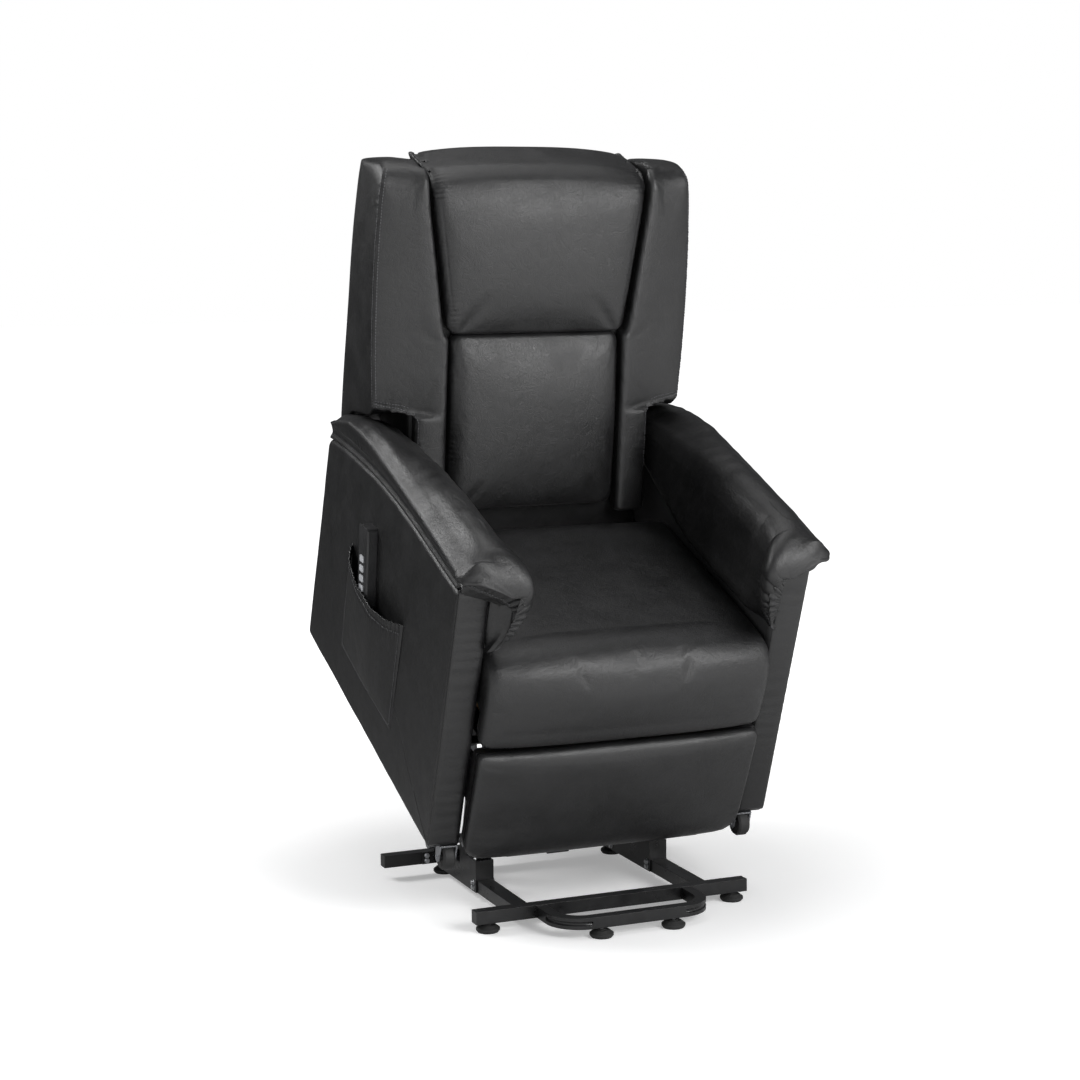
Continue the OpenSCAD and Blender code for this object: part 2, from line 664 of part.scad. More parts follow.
// ---------------------------------------------------------------- arms
// top edge of an arm panel: level, then falling in a shallow curve to the back
fall = (arm_h - arm_back_h) / pow(arm_l - arm_fall_y, 2);
function arm_top(y) = y < arm_fall_y ? arm_h : arm_h - fall * pow(y - arm_fall_y, 2);
function arm_front(z) = strip_lean * z / arm_h;
module arm_2d(inset) polygon(concat(
    [[arm_front(inset) + inset, inset], [arm_l - inset, inset]],
    [for (i = [0:10]) let(y = mix(arm_l - inset, arm_fall_y, i / 10)) [y, arm_top(y) - inset]],
    [[arm_front(arm_h) + inset, arm_h - inset]]));
module arm_cover(side) color(leather) on_chair() mirror([side < 0 ? 1 : 0, 0, 0]) difference() {
    slab(inner_x, arm_t) arm_2d(0);
    slab(inner_x - 1, arm_t + 1 - skin) arm_2d(skin);
}
module arm_board(side) color(timber) on_chair() mirror([side < 0 ? 1 : 0, 0, 0])
    slab(inner_x, board) arm_2d(skin + fit);
frame_bar = 38;
module arm_frames() color(timber) on_chair() pair(inner_x + board, arm_t - board - skin)
    difference() {
        arm_2d(skin + fit);
        difference() {
            arm_2d(skin + frame_bar);
            translate([arm_l / 2 - frame_bar / 2, 0]) square([frame_bar, arm_h]);
        }
    }
module rear_rail() color(leather) on_chair() translate([-inner_x, arm_l - 24, 60])
    cube([2 * inner_x, 20, 170]);

// closed polyhedron through equal rings
function ring_faces(m, n) = concat(
    [[for (k = [0:n - 1]) k]],
    [for (i = [0:m - 2]) for (k = [0:n - 1]) each [
        [i * n + k, (i + 1) * n + (k + 1) % n, i * n + (k + 1) % n],
        [i * n + k, (i + 1) * n + k, (i + 1) * n + (k + 1) % n]]],
    [[for (k = [0:n - 1]) m * n - 1 - k]]);
// the same with its two ends closed by fans round their middles, for ends that aren't flat
function fan_faces(m, n) = concat(
    [for (k = [0:n - 1]) [m * n, k, (k + 1) % n]],
    [for (i = [0:m - 2]) for (k = [0:n - 1]) each [
        [i * n + k, (i + 1) * n + (k + 1) % n, i * n + (k + 1) % n],
        [i * n + k, (i + 1) * n + k, (i + 1) * n + (k + 1) % n]]],
    [for (k = [0:n - 1]) [m * n + 1, (m - 1) * n + (k + 1) % n, (m - 1) * n + k]]);
function mean(r) = [for (a = [0:2]) [for (p = r) p[a]] * [for (p = r) 1] / len(r)];
module loft(rings, flip = false, fan = false) {
    m = len(rings);
    faces = fan ? fan_faces(m, len(rings[0])) : ring_faces(m, len(rings[0]));
    polyhedron(points = concat([for (r = rings) each r],
        fan ? [mean(rings[0]), mean(rings[m - 1])] : []),
        faces = flip ? [for (f = faces) [for (i = [len(f) - 1:-1:0]) f[i]]] : faces,
        convexity = 6);
}

// section of an arm pad at chair y, as [x, z] around the right arm, from the outer seam over
// the crown and down the inner face to the seat. In front of the strip it goes on as a blunt
// nose: t runs from 0 at the strip to 1 at the tip
nose_y = arm_front(arm_h);
nose_in = 31;                                   // how far the nose puffs out towards the seat
belly = 8;                                      // how far the inner flank bellies out behind it
pad_fall = 95;                                  // fall of the crown's inner side at y = 725
tip_x = inner_x - 12;
stitch_h = 32;                                  // height of the gusset up to the stitched seam
// lower edge of the nose: it drops from the outer corner towards the seat
function lip_z(x) = arm_h - 13 + (x - tip_x) * 0.31;
function upto(a, b, v) = min(1, max(0, (v - a) / (b - a)));
function pad_ring(y) = let(
    t = y < nose_y - 0.5 ? (nose_y - y) / (nose_y + pad_nose) : 0,
    tail = max(0, (y - 715) / 90),
    sink = pad_fall * pow(max(0, y - 100) / 625, 2),
    crown = mix(arm_h + 31, pad_h, pow(1 - pow(t, 1.6), 0.6)) - 7 * pow(1 - upto(nose_y, 80, y), 2)
        - 30 * tail * tail,
    top = crown - sink,
    top_mid = crown - 0.72 * sink - 9 * upto(590, 650, y),
    top_out = crown - 0.5 * sink - 9 * upto(590, 650, y),
    out = mix(tip_x, pad_out, pow(1 - pow(t, 2.5), 0.75)) - 16 * tail,
    in = pad_in - nose_in * sin(min(90, 20 * (1 - upto(nose_y, 80, y)) + 93 * t))
        + 20 * pow(t, 10) + 6 * tail,
    low_in = in - belly * sin(180 * upto(20, 470, y)),
    side = t > 0 ? max(inner_x - gap - 55 * t, in + 8) : inner_x - gap,
    side_low = min(inner_x - gap, side + 16 * (1 - pow(t, 2))),
    w = (out - in) / (pad_out - pad_in),
    rise = 50 * max(0, (t - 0.4) / 0.6),
    seam = t > 0 ? min(top - 4, lip_z(out - 20 * w) + rise) : arm_top(y) + gap,
    under = t > 0 ? min(seam, lip_z(side) + rise) : seam,
    bulge = t > 0 ? mix(seam, top, 0.35)
        : min(arm_h + 39 + 4 * upto(nose_y, 60, y) - 35 * pow(max(0, y - 400) / 323, 2), top_out - 14),
    low = t > 0 ? mix(pad_low - 6, arm_h + 13, pow(t, 3))
        : min(arm_top(y) - 12, pad_low - 6 * (1 - upto(nose_y, 80, y))
            + 55 * pow(max(0, y - 350) / 260, 1.4)),
    h = top - low)
    [for (p = [
        [t > 0 ? out - 20 * w : half_w - 2, seam],
        t > 0 ? [out - 15 * w, mix(seam, bulge, 0.6)] : [half_w + 6 - 8 * tail, min(arm_top(y) + stitch_h, bulge - 8)],
        [out, bulge],
        [out - 9 * w, mix(bulge, top_out, 0.2)],
        [out - 33 * w, mix(bulge, top_out, 0.6)],
        [mix(in, out, 0.5), top_mid],
        [in + 30 * w, top - 0.012 * h],
        [in + 10 * w, top - 0.085 * h],
        [mix(in, low_in, 0.5), top - 0.25 * h],
        [low_in + 1, low + 0.26 * h],
        [mix(low_in, side_low, 0.2), low + 0.042 * h],
        [mix(low_in, side_low, 0.55), low],
        [side_low, low + 1],
        [mix(side_low, side, 0.5), mix(low + 1, under, 0.5)],
        [side, under]]) [p[0], y, p[1]]];
pad_stations = concat([for (i = [7:-1:1]) mix(nose_y, -pad_nose, sin(i * 90 / 8))],
    [nose_y - 1, nose_y - 0.4, 50, 85, 130, 200, 270, 340, 410, 480, 550, 590, 620, 650, 690, 725, 750,
        775, 798]);
module arm_pad(side) color(leather) on_chair() mirror([side < 0 ? 1 : 0, 0, 0])
    loft([for (y = pad_stations) pad_ring(y)], fan = true);

// ---------------------------------------------------------------- seat
// rounded outline of the seat in (y, z): c is 1 at mid width and 0 at the sides
function seat_outline(c) = let(
    f = -34 - 13 * c,
    t = seat_h + seat_crown * c,
    b = seat_back_y)
    [[b - 6, seat_base], [b, seat_base + 25], [b, seat_h - 30], [b - 8, seat_h - 6],
        [b - 40, seat_h + seat_crown * 0.4 * c], [b - 130, t - 3 * c], [b - 260, t],
        [b - 380, t], [60, t - 2], [10, t - 5], [-12, t - 14], [f + 8, t - 32],
        [f + 1, t - 58], [f, t - 90], [f + 1, 270], [f + 3, 245], [f + 10, seat_front_low],
        [2, seat_front_low + 1], [9, 240], [10, seat_base]];
seat_stations = [for (i = [-8:8]) sin(i * 90 / 8)];
module seat_cushion() color(leather) on_chair() loft([for (u = seat_stations)
    let(c = 1 - pow(abs(u), 4))
    [for (p = seat_outline(c)) [u * seat_half, p[0], p[1]]]]);

// ---------------------------------------------------------------- footrest
module links(x) pair(x, link_t) children();
link_w = 26;
thin_w = 22;
drive_x = side_x - 3.5 - link_t;
cross_x = drive_x - 4 - link_t;
// riveted pin that stands inwards from a link and passes a second link
module rivet(p) for (s = [0, 1]) mirror([s, 0, 0]) {
    bar_x(p, rivet_r, cross_x - 4.6, drive_x - cross_x + 5.6 + link_t);
    bar_x(p, rivet_r + 3, cross_x - 4, 3);
}
module footrest_drive_links() color(steel_black) on_chair() {
    links(drive_x) difference() {
        link_2d(fold, drive_end, link_w);
        translate(fold) circle(r = rivet_r + pin_clear);
    }
    rivet(cross_pin);
    rivet(drive_end);
    bar_x(polar(fold, 110, -fold_dir), 9, -drive_x - link_t / 2, 2 * drive_x + link_t);
}
module footrest_rear_links() color(steel_black) on_chair() {
    links(drive_x) difference() {
        link_2d(rear_fold, upper_tail, thin_w);
        translate(rear_fold) circle(r = rivet_r + pin_clear);
    }
    rivet(upper_tail);
}
module footrest_upper_links() color(steel_grey) on_chair() links(cross_x) difference() {
    link_2d(upper_tail, upper_end, thin_w);
    translate(upper_tail) circle(r = rivet_r + rivet_open);
    translate(cross_pin) circle(r = rivet_r + pin_clear);
    translate(upper_end) circle(r = rivet_r + pin_clear);
}
module footrest_lower_links() color(steel_grey) on_chair() links(cross_x) difference() {
    link_2d(drive_end, lower_end, thin_w);
    translate(drive_end) circle(r = rivet_r + pin_clear);
    translate(lower_end) circle(r = rivet_r + rivet_open);
}
corner_r = 45;                                  // round lower corners of the footrest
board_y = -6;                                   // front face of the footrest board
module footrest_board() color(timber) on_chair() {
    translate([0, board_y + rest_board, 0]) rotate([90, 0, 0]) linear_extrude(height = rest_board)
        difference() {
            translate([-rest_half + 2, rest_low + 6]) square([2 * rest_half - 4,
                rest_top - rest_low - 12]);
            // rounded lower corners
            for (s = [0, 1]) mirror([s, 0]) translate([rest_half - corner_r, rest_low + corner_r])
                difference() {
                    translate([0, -corner_r]) square([corner_r, corner_r]);
                    circle(r = corner_r - 3);
                }
        }
    // steel brackets with the two pins
    color(steel_black) links(drive_x) difference() {
        polygon([[board_y + rest_board, upper_end[1] + 14], [upper_end[0] + 8, upper_end[1] + 14],
            [upper_end[0] + 16, upper_end[1]], [lower_end[0] + 14, lower_end[1] + 4],
            [lower_end[0] + 8, lower_end[1] - 12], [board_y + rest_board, lower_end[1] - 30]]);
    }
    rivet(upper_end);
    rivet(lower_end);
}
function rest_outline(c) = let(f = -26 - 10 * c)
    [[board_y - gap, rest_low + 4], [board_y - gap, rest_top - 4], [board_y - 6, rest_top - 1],
        [f + 12, rest_top - 2], [f - 8, rest_top - 8], [f - 12, rest_top - 24],
        [f - 12, rest_top - 60], [f - 9, 100], [f - 6, 50], [f - 2, rest_low + 34],
        [f + 2, rest_low + 12], [f + 10, rest_low + 1], [board_y - 8, rest_low]];
module footrest_pad() color(leather) on_chair() loft([for (u = seat_stations)
    let(c = 1 - pow(abs(u), 6), x = u * rest_half, e = rest_half - abs(x),
        cut = e < corner_r ? corner_r - sqrt(pow(corner_r, 2) - pow(corner_r - e, 2)) : 0)
    [for (p = rest_outline(c)) [x, p[0], p[1] < rest_low + corner_r
        ? mix(rest_low + corner_r, p[1], 1 - cut / corner_r * 0.8) : p[1]]]]);

// ---------------------------------------------------------------- backrest
lean = tan(back_lean);
function back_front(z) = back_front_y + (z - seat_h) * lean;
function back_rear(z) = 774 + (z - 330) * 0.146;
core_low = 328;
core_top = back_top - 21;                        // the upper cushion rolls over it
cushion_t = 62;
side_set = 32;                                  // the back's sides lie this far behind its front plane
side_play = 2;                                  // play between these sides and the cushions
side_low = seat_h - 14;
// half width of the cushions at height z
function cushion_half(z) = z < back_seam ? lumbar_half + 1
    : mix(lumbar_half + 11, upper_half, pow(max(0, z - back_seam - 3) / (upper_top - back_seam - 3), 0.6));
// padded sides that fill the back between the cushions and the wings, up to the wings' top
module back_sides() intersection() {
    pair(lumbar_half, back_inner - lumbar_half) polygon([[back_front(side_low) + side_set, side_low],
        [back_front(side_low) + cushion_t + 2, side_low],
        [back_front(core_top - 60) + cushion_t + 2, core_top - 60],
        [back_rear(core_top - 60) - 6, core_top - 60], [back_rear(back_top) - 8, back_top - 20],
        [back_rear(back_top) - 24, back_top], [back_front(back_top) + side_set + 26, back_top],
        [back_front(back_top) + side_set + 6, back_top - 14]]);
    for (s = [0, 1]) mirror([s, 0, 0]) translate([0, back_rear(back_top), 0]) rotate([90, 0, 0])
        linear_extrude(height = back_rear(back_top) - seat_back_y) polygon(concat(
            [[back_inner, back_top + 1], [back_inner, side_low - 1]],
            [for (z = [side_low - 1, back_seam - 0.1, back_seam, mix(back_seam, back_top, 0.1),
                mix(back_seam, back_top, 0.3), mix(back_seam, back_top, 0.6), back_top + 1])
                [cushion_half(z) + side_play, z]]));
}
module back_core() color(leather) on_chair() difference() {
    union() {
        slab(-back_inner, 2 * back_inner) polygon([[back_front(core_low) + cushion_t + 12, core_low],
            [back_rear(core_low) - 6, core_low], [back_rear(core_top - 22), core_top - 22],
            [back_rear(core_top) - 16, core_top], [back_front(core_top) + cushion_t + 26, core_top],
            [back_front(core_top - 34) + cushion_t, core_top - 34],
            [back_front(side_low + 20) + cushion_t, side_low + 20]]);
        back_sides();
    }
    // channels for the uprights
    pair(upright_x - fit, upright_w + 2 * fit) upright_2d(fit);
    back_cross_cut();
}
upright_x = back_inner - 44;
upright_w = 25;
upright_top = back_top - 125;
back_rails = [core_low + 92, mix(core_low, back_top, 0.5), upright_top - 30];
// outline of an upright: it follows the middle of the back
module upright_2d(m) polygon([[back_rear(core_low) - 60 - m, core_low - 40 - m],
    [back_rear(core_low) - 34 + m, core_low - 40 - m], [back_rear(upright_top) - 34 + m, upright_top + m],
    [back_rear(upright_top) - 60 - m, upright_top + m]]);
module back_cross_cut() for (z = back_rails) translate([-upright_x, back_rear(z) - 59.9 - fit,
    z - fit]) cube([2 * upright_x, 20 + 2 * fit, 30 + 2 * fit]);
module back_frame() color(timber) on_chair() {
    pair(upright_x, upright_w) upright_2d(0);
    for (z = back_rails) translate([-upright_x, back_rear(z) - 59.9, z])
        cube([2 * upright_x, 20, 30]);
}
bracket_x = side_x - 3 - plate;
module back_brackets() color(steel_black) on_chair() {
    difference() {
        pair(bracket_x, plate) difference() {
            union() {
                translate([hinge_y, hinge_z]) circle(r = 20);
                polygon([[hinge_y - 20, hinge_z], [hinge_y - 2, core_low - 10],
                    [back_rear(core_low) - 60, core_low + 26], [back_rear(core_low) - 34, core_low - 6],
                    [back_rear(core_low) - 34, shaft_pin[1] - 11],
                    [back_rear(core_low) - 60, shaft_pin[1] - 11], [hinge_y + 14, hinge_z - 17]]);
            }
            translate([hinge_y, hinge_z]) circle(r = pin_r + pin_clear);
        }
    }
    // foot plates from the brackets to the uprights
    pair(upright_x, bracket_x - upright_x) translate([back_rear(core_low) - 58, core_low - 43])
        square([22, 3]);
    // cross shaft and the lever for the back motor
    difference() {
        union() {
            bar_x(shaft_pin, 9, -bracket_x, 2 * bracket_x);
            pair(eye_half, lug_t) link_2d(shaft_pin, lever_pin, 26);
        }
        bar_x(lever_pin, rivet_r, -20, 40);
    }
    bar_x(lever_pin, rivet_r, -eye_half - lug_t - 2, 2 * (eye_half + lug_t + 2));
}
shaft_pin = [back_rear(core_low) - 47, core_low - 53];

// a crowned cushion lofted along x: half width at the bottom and the top, edge and crown depth
function cushion_outline(z0, z1, edge, crown, c, top_r) = let(h = z1 - z0)
    concat(
        [for (i = [0:12]) let(t = i / 12, z = mix(z0, z1, t),
            b = pow(sin(180 * t), 0.45))
            [back_front(z) + cushion_t - gap - edge - (cushion_t - edge) * 0.55 * b - crown * b * c,
                z]],
        [[back_front(z1 - 6 - top_r) + cushion_t - gap, z1 - 6 - top_r],
            [back_front(z0 + 8) + cushion_t - gap, z0 + 8]]);
module cushion(z0, z1, w0, w1, edge, crown, top_r) loft([for (u = seat_stations)
    let(c = 1 - pow(abs(u), 4))
    [for (p = cushion_outline(z0, z1, edge, crown, c, top_r))
        let(t = (p[1] - z0) / (z1 - z0), w = mix(w0, w1, t) * (1 - 0.012 * sin(180 * t)))
        [u * w, p[0], p[1]]]], flip = true, fan = true);
module lumbar_cushion() color(leather) on_chair()
    cushion(424, back_seam - 3, lumbar_half, lumbar_half + 1, 30, 20, 0);
// the upper cushion's section: up its crowned front, over the back's top and down behind it
upper_top = back_top + 13;
roll_z = core_top + gap;
function upper_outline(c) = let(z0 = back_seam + 3, z1 = upper_top - 26)
    concat(
        [for (i = [0:11]) let(t = i / 11, z = mix(z0, z1, t), b = pow(sin(min(90, 150 * t)), 0.45))
            [back_front(z) + cushion_t - gap - 30 - (cushion_t - 30) * 0.55 * b - 16 * b * c
                + 7 * pow(t, 6), z]],
        [[back_front(z1) + 24, upper_top - 9], [back_front(z1) + 44, upper_top - 2],
            [back_front(z1) + 80, upper_top], [back_rear(core_top) - 46, upper_top],
            [back_rear(core_top) - 16, upper_top - 3], [back_rear(core_top) - 2, upper_top - 12],
            [back_rear(core_top) + 3, mix(roll_z, upper_top, 0.4)], [back_rear(core_top) - 1, roll_z + 1],
            [back_rear(core_top) - 14, roll_z], [back_front(core_top) + cushion_t + 26, roll_z],
            [back_front(core_top - 34) + cushion_t - gap, core_top - 34],
            [back_front(z0 + 8) + cushion_t - gap, z0 + 8]]);
module upper_cushion() color(leather) on_chair() loft([for (u = seat_stations)
    let(c = 1 - pow(abs(u), 4))
    [for (p = upper_outline(c))
        [u * cushion_half(p[1]), p[0], p[1] - (p[1] > roll_z + 8 ? 9 * pow(abs(u), 8) : 0)]]],
    flip = true, fan = true);

// front edge of a wing at height z, u from 0 at its inner face to 1 at its outer seam
function wing_front(z, u) = mix(back_front(z) + side_set, wing_y + (z - wing_low) * lean * 0.9, pow(u, 1.2));
function wing_rear(z) = back_rear(z) + 1;
function wing_outline(u) = concat(
    [for (t = [0, 0.17, 0.36, 0.55, 0.74, 0.9]) let(z = mix(wing_low, back_top, t)) [wing_front(z, u), z]],
    [[wing_front(back_top, u) + 6, back_top - 14], [wing_front(back_top, u) + 26, back_top],
        [wing_rear(back_top) - 24, back_top], [wing_rear(back_top) - 4, back_top - 20]],
    [for (t = [0.72, 0.45, 0.2]) let(z = mix(wing_low, back_top, t)) [wing_rear(z), z]],
    [[wing_rear(wing_low - 70) - 2, wing_low - 70]]);
module wing(side) color(leather) on_chair() mirror([side < 0 ? 1 : 0, 0, 0]) loft([
    for (i = [0:8]) let(u = i / 8, x0 = back_inner + gap)
    [for (p = wing_outline(u)) let(
        o = wing_half - 14 + 14 * pow(sin(180 * min(1, max(0, (p[1] - wing_low + 60) / 520))), 0.5),
        round_top = p[1] > back_top - 30 ? pow(u, 4) * 26 : 0)
        [mix(x0, o, u), p[0], p[1] - round_top]]], fan = true);

// ---------------------------------------------------------------- casters
caster_y = 9;
caster_x = half_w - 45;
module caster_forks() color(steel_grey) on_chair() for (s = [-1, 1]) translate([s * caster_x, 0, 0]) {
    translate([-wheel_w / 2 - 6, caster_y - 8, -plate]) cube([wheel_w + 12, 44, plate]);
    difference() {
        for (x = [-wheel_w / 2 - 6, wheel_w / 2 + 3]) slab(x, plate) {
            translate([caster_y, -wheel_drop]) circle(r = 9);
            polygon([[caster_y - 9, -wheel_drop], [caster_y + 9, -wheel_drop],
                [caster_y + 16, -plate], [caster_y - 8, -plate]]);
        }
        bar_x([caster_y, -wheel_drop], 4 + pin_clear, -40, 80);
    }
    bar_x([caster_y, -wheel_drop], 4, -wheel_w / 2 - 8, wheel_w + 16);
}
module caster_wheel(side) color(rubber) on_chair() translate([side * caster_x, caster_y,
    -wheel_drop]) rotate([0, 90, 0]) rotate_extrude($fn = 64) difference() {
        polygon([[4 + pin_clear, -wheel_w / 2 - 2], [8, -wheel_w / 2 - 2], [8, -wheel_w / 2 + 3],
            [17, -wheel_w / 2 + 3], [19, -wheel_w / 2], [22, -wheel_w / 2],
            [wheel_r, -wheel_w / 2 + 4], [wheel_r, wheel_w / 2 - 4], [22, wheel_w / 2],
            [19, wheel_w / 2], [17, wheel_w / 2 - 3], [8, wheel_w / 2 - 3], [8, wheel_w / 2 + 2],
            [4 + pin_clear, wheel_w / 2 + 2]]);
    }
module chair_bolts() color(zinc) on_chair() for (s = [0, 1]) mirror([s, 0, 0]) {
    for (p = [[120, 250], [330, 250], [470, 250], [330, 140], [540, 140], [610, 170]])
        translate([side_x, p[0], p[1]]) mirror([1, 0, 0]) bolt_x(4.5, 4);
    // seat frame screws up through the side plates' flanges
    for (y = [150, 300, 440]) translate([frame_half - 4, y, seat_rail_z - plate]) rotate([0, 90, 0])
        bolt_x(3.5, 3);
}

// ---------------------------------------------------------------- handset and pocket
pocket_y0 = 252;
pocket_y1 = 580;
pocket_z0 = 104;
pocket_z1 = 345;
pocket_sag = 26;
pocket_depth = 35;
pocket_t = 3;
// depth of the pocket's front sheet off the arm at u across and v up
function pocket_d(u, v) = 3.5 + (pocket_depth - 3.5) * pow(v, 0.6) * pow(max(0, 1 - u * u), 0.7);
function pocket_z(u, v) = mix(pocket_z0, pocket_z1 - pocket_sag * (1 - u * u), v);
pocket_nu = 20;
pocket_nv = 9;
function pocket_pt(i, j, t) = let(u = -1 + 2 * i / pocket_nu, v = j / pocket_nv)
    [-half_w - gap - max(0, pocket_d(u, v) - t), mix(pocket_y0, pocket_y1, i / pocket_nu),
        pocket_z(u, v)];
// each ring goes down the outer face and up the inner face of the sheet
module handset_pocket() color(leather) on_chair() loft([for (i = [0:pocket_nu]) concat(
    [for (j = [pocket_nv:-1:0]) pocket_pt(i, j, 0)],
    [[-half_w - gap, mix(pocket_y0, pocket_y1, i / pocket_nu), pocket_z0]],
    [for (j = [1:pocket_nv]) pocket_pt(i, j, pocket_t)])], fan = true);

module on_handset() on_chair() translate([-half_w - gap - hand_t / 2, hand_y, hand_z])
    rotate([-hand_lean, 0, 0]) translate([0, 0, -hand_l]) children();
// rounded rectangle, centred, from squares and circles
module round_rect(w, h, r) {
    square([w - 2 * r, h], center = true);
    square([w, h - 2 * r], center = true);
    for (x = [-1, 1]) for (y = [-1, 1]) translate([x * (w / 2 - r), y * (h / 2 - r)])
        circle(r = r, $fn = 24);
}
button_w = 22;
button_h = 13;
button_z = [for (i = [0:3]) hand_l - 66 - i * button_pitch];
module at_button(i) on_handset() translate([-hand_t / 2, 0, button_z[i]]) rotate([90, 0, -90])
    children();
module handset_shell() color(plastic) difference() {
    on_handset() intersection() {
        linear_extrude(height = hand_l) round_rect(hand_t, hand_w, 5);
        translate([0, 0, hand_l / 2]) rotate([0, 90, 0]) linear_extrude(height = hand_t + 2,
            center = true) round_rect(hand_l, hand_w, 8);
    }
    for (i = [0:3]) at_button(i) translate([0, 0, -4]) linear_extrude(height = 6)
        round_rect(button_w + 0.6, button_h + 0.6, 3.3);
}
module button(i) color(zinc) at_button(i) translate([0, 0, -2]) linear_extrude(height = 3.4)
    round_rect(button_w, button_h, 3);

base_front_tube();
base_rear_tube();
base_rail(-1);  // base_rail_left
base_rail(1);  // base_rail_right
base_hoop();
lift_bracket(-1);  // lift_bracket_left
lift_bracket(1);  // lift_bracket_right
base_cross_tube();
tube_end_caps();
base_feet();
foot_studs();
base_bolts();
rear_lift_arms();
lift_torque_tube();
lift_crank();
front_lift_arms();
lift_motor();
lift_motor_rod();
lift_rail(-1);  // lift_rail_left
lift_rail(1);  // lift_rail_right
side_plate(-1);  // side_plate_left
side_plate(1);  // side_plate_right
cross_tubes();
seat_frame();
seat_springs();
seat_cushion();
arm_frames();
arm_cover(-1);  // arm_cover_left
arm_cover(1);  // arm_cover_right
arm_board(-1);  // arm_board_left
arm_board(1);  // arm_board_right
arm_pad(-1);  // arm_pad_left
arm_pad(1);  // arm_pad_right
handset_pocket();
rear_rail();
caster_forks();
chair_bolts();
back_frame();
back_core();
wing(-1);  // wing_left
wing(1);  // wing_right
upper_cushion();
lumbar_cushion();
back_brackets();
back_motor();
back_motor_rod();
footrest_drive_links();
footrest_rear_links();
footrest_upper_links();
footrest_lower_links();
footrest_board();
footrest_pad();
caster_wheel(-1);  // caster_wheel_left
caster_wheel(1);  // caster_wheel_right
handset_shell();
button(0);  // button_up
button(1);  // button_down
button(2);  // button_recline
button(3);  // button_upright
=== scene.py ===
"""Looks of the lift recliner chair: leather upholstery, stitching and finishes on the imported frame."""
import math

import bmesh
import bpy
import numpy as np
from mathutils import Matrix, Vector
from mathutils.bvhtree import BVHTree
from mathutils.noise import noise as perlin

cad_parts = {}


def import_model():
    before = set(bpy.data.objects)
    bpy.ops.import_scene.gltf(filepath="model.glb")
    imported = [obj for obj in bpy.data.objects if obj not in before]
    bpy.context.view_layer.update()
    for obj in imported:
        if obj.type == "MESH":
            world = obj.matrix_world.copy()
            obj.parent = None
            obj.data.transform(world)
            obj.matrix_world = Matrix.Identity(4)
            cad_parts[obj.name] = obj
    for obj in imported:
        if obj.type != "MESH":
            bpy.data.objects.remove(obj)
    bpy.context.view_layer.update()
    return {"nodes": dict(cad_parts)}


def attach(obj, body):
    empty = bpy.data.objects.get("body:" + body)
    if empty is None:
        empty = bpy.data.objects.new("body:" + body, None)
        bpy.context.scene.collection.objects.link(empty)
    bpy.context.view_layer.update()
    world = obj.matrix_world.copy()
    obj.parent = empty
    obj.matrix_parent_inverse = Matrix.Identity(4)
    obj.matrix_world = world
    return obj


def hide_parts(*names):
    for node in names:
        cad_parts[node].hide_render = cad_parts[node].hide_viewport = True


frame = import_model()
NODES = frame["nodes"]
scene = bpy.context.scene

# ------ chair frame and sizes, in mm
TILT = math.radians(21.9)
MID = 313.0  # from the base's front face back to the origin
CHAIR_Y, CHAIR_Z = 67.8 - MID, 157.4
HALF = 360.0  # outer face of the arm panels
INNER = 296.5  # inner face of the arms' boards
ARM_L, ARM_H, ARM_REAR_H, ARM_FALL_Y = 805.0, 547.0, 472.0, 260.0
FALL = (ARM_H - ARM_REAR_H) / (ARM_L - ARM_FALL_Y) ** 2
STRIP_LEAN = 21.0
SEAT_HALF = 295.0
REST_HALF = 293.0
SIDES = {-1: "left", 1: "right"}
LEAN = math.tan(math.radians(15.5))
REAR_LEAN = 0.146
BACK_TOP = 1085.0
BACK_SEAM = 770.0
FRONT_FOOT_Y, FRONT_FOOT_Z = 512.0, 414.0  # lower edge of the back's front plane
REAR_FOOT_Y, REAR_FOOT_Z = 774.0, 330.0  # lower edge of its rear plane


def world(p):
    """Points of the chair frame, in mm, as points of the row frame, in metres."""
    p = np.asarray(p, float)
    y, z = p[..., 1], p[..., 2]
    c, s = math.cos(TILT), math.sin(TILT)
    return np.stack([p[..., 0], CHAIR_Y + y * c - z * s, CHAIR_Z + y * s + z * c], -1) / 1000


def chair(p):
    """Points of the row frame, in metres, as points of the chair frame, in mm."""
    p = np.asarray(p, float) * 1000
    y, z = p[..., 1] - CHAIR_Y, p[..., 2] - CHAIR_Z
    c, s = math.cos(TILT), math.sin(TILT)
    return np.stack([p[..., 0], y * c + z * s, -y * s + z * c], -1)


def mix(a, b, t):
    return a + (b - a) * t


def step(a, b, t):
    t = np.clip((np.asarray(t, float) - a) / (b - a), 0, 1)
    return t * t * (3 - 2 * t)


def arm_top(y):
    return ARM_H - FALL * np.maximum(0, np.asarray(y, float) - ARM_FALL_Y) ** 2


def arm_front(z):
    return STRIP_LEAN * z / ARM_H


def back_front(z):
    return FRONT_FOOT_Y + (z - FRONT_FOOT_Z) * LEAN


def back_rear(z):
    return REAR_FOOT_Y + (z - REAR_FOOT_Z) * REAR_LEAN


def cushion_half(z):
    """Half width of the back's cushions: even at the lumbar one, and growing up the upper one."""
    heights = [400, BACK_SEAM - 0.1, BACK_SEAM, 799, 909, 1004, 1054, 1090]
    return np.interp(z, heights, [185, 185, 193, 196, 211, 225, 232, 235])


def waves(t, pitch, seed):
    """Uneven waves from -1 to 1 along t, about one every pitch."""
    t = np.asarray(t, float) / pitch
    w = t + 0.31 * np.sin(0.61 * t + seed) + 0.17 * np.sin(1.37 * t + 2.1 * seed)
    a = 0.66 + 0.34 * np.sin(0.43 * t + 1.7 * seed)
    return a * np.sin(2 * math.pi * w + seed)


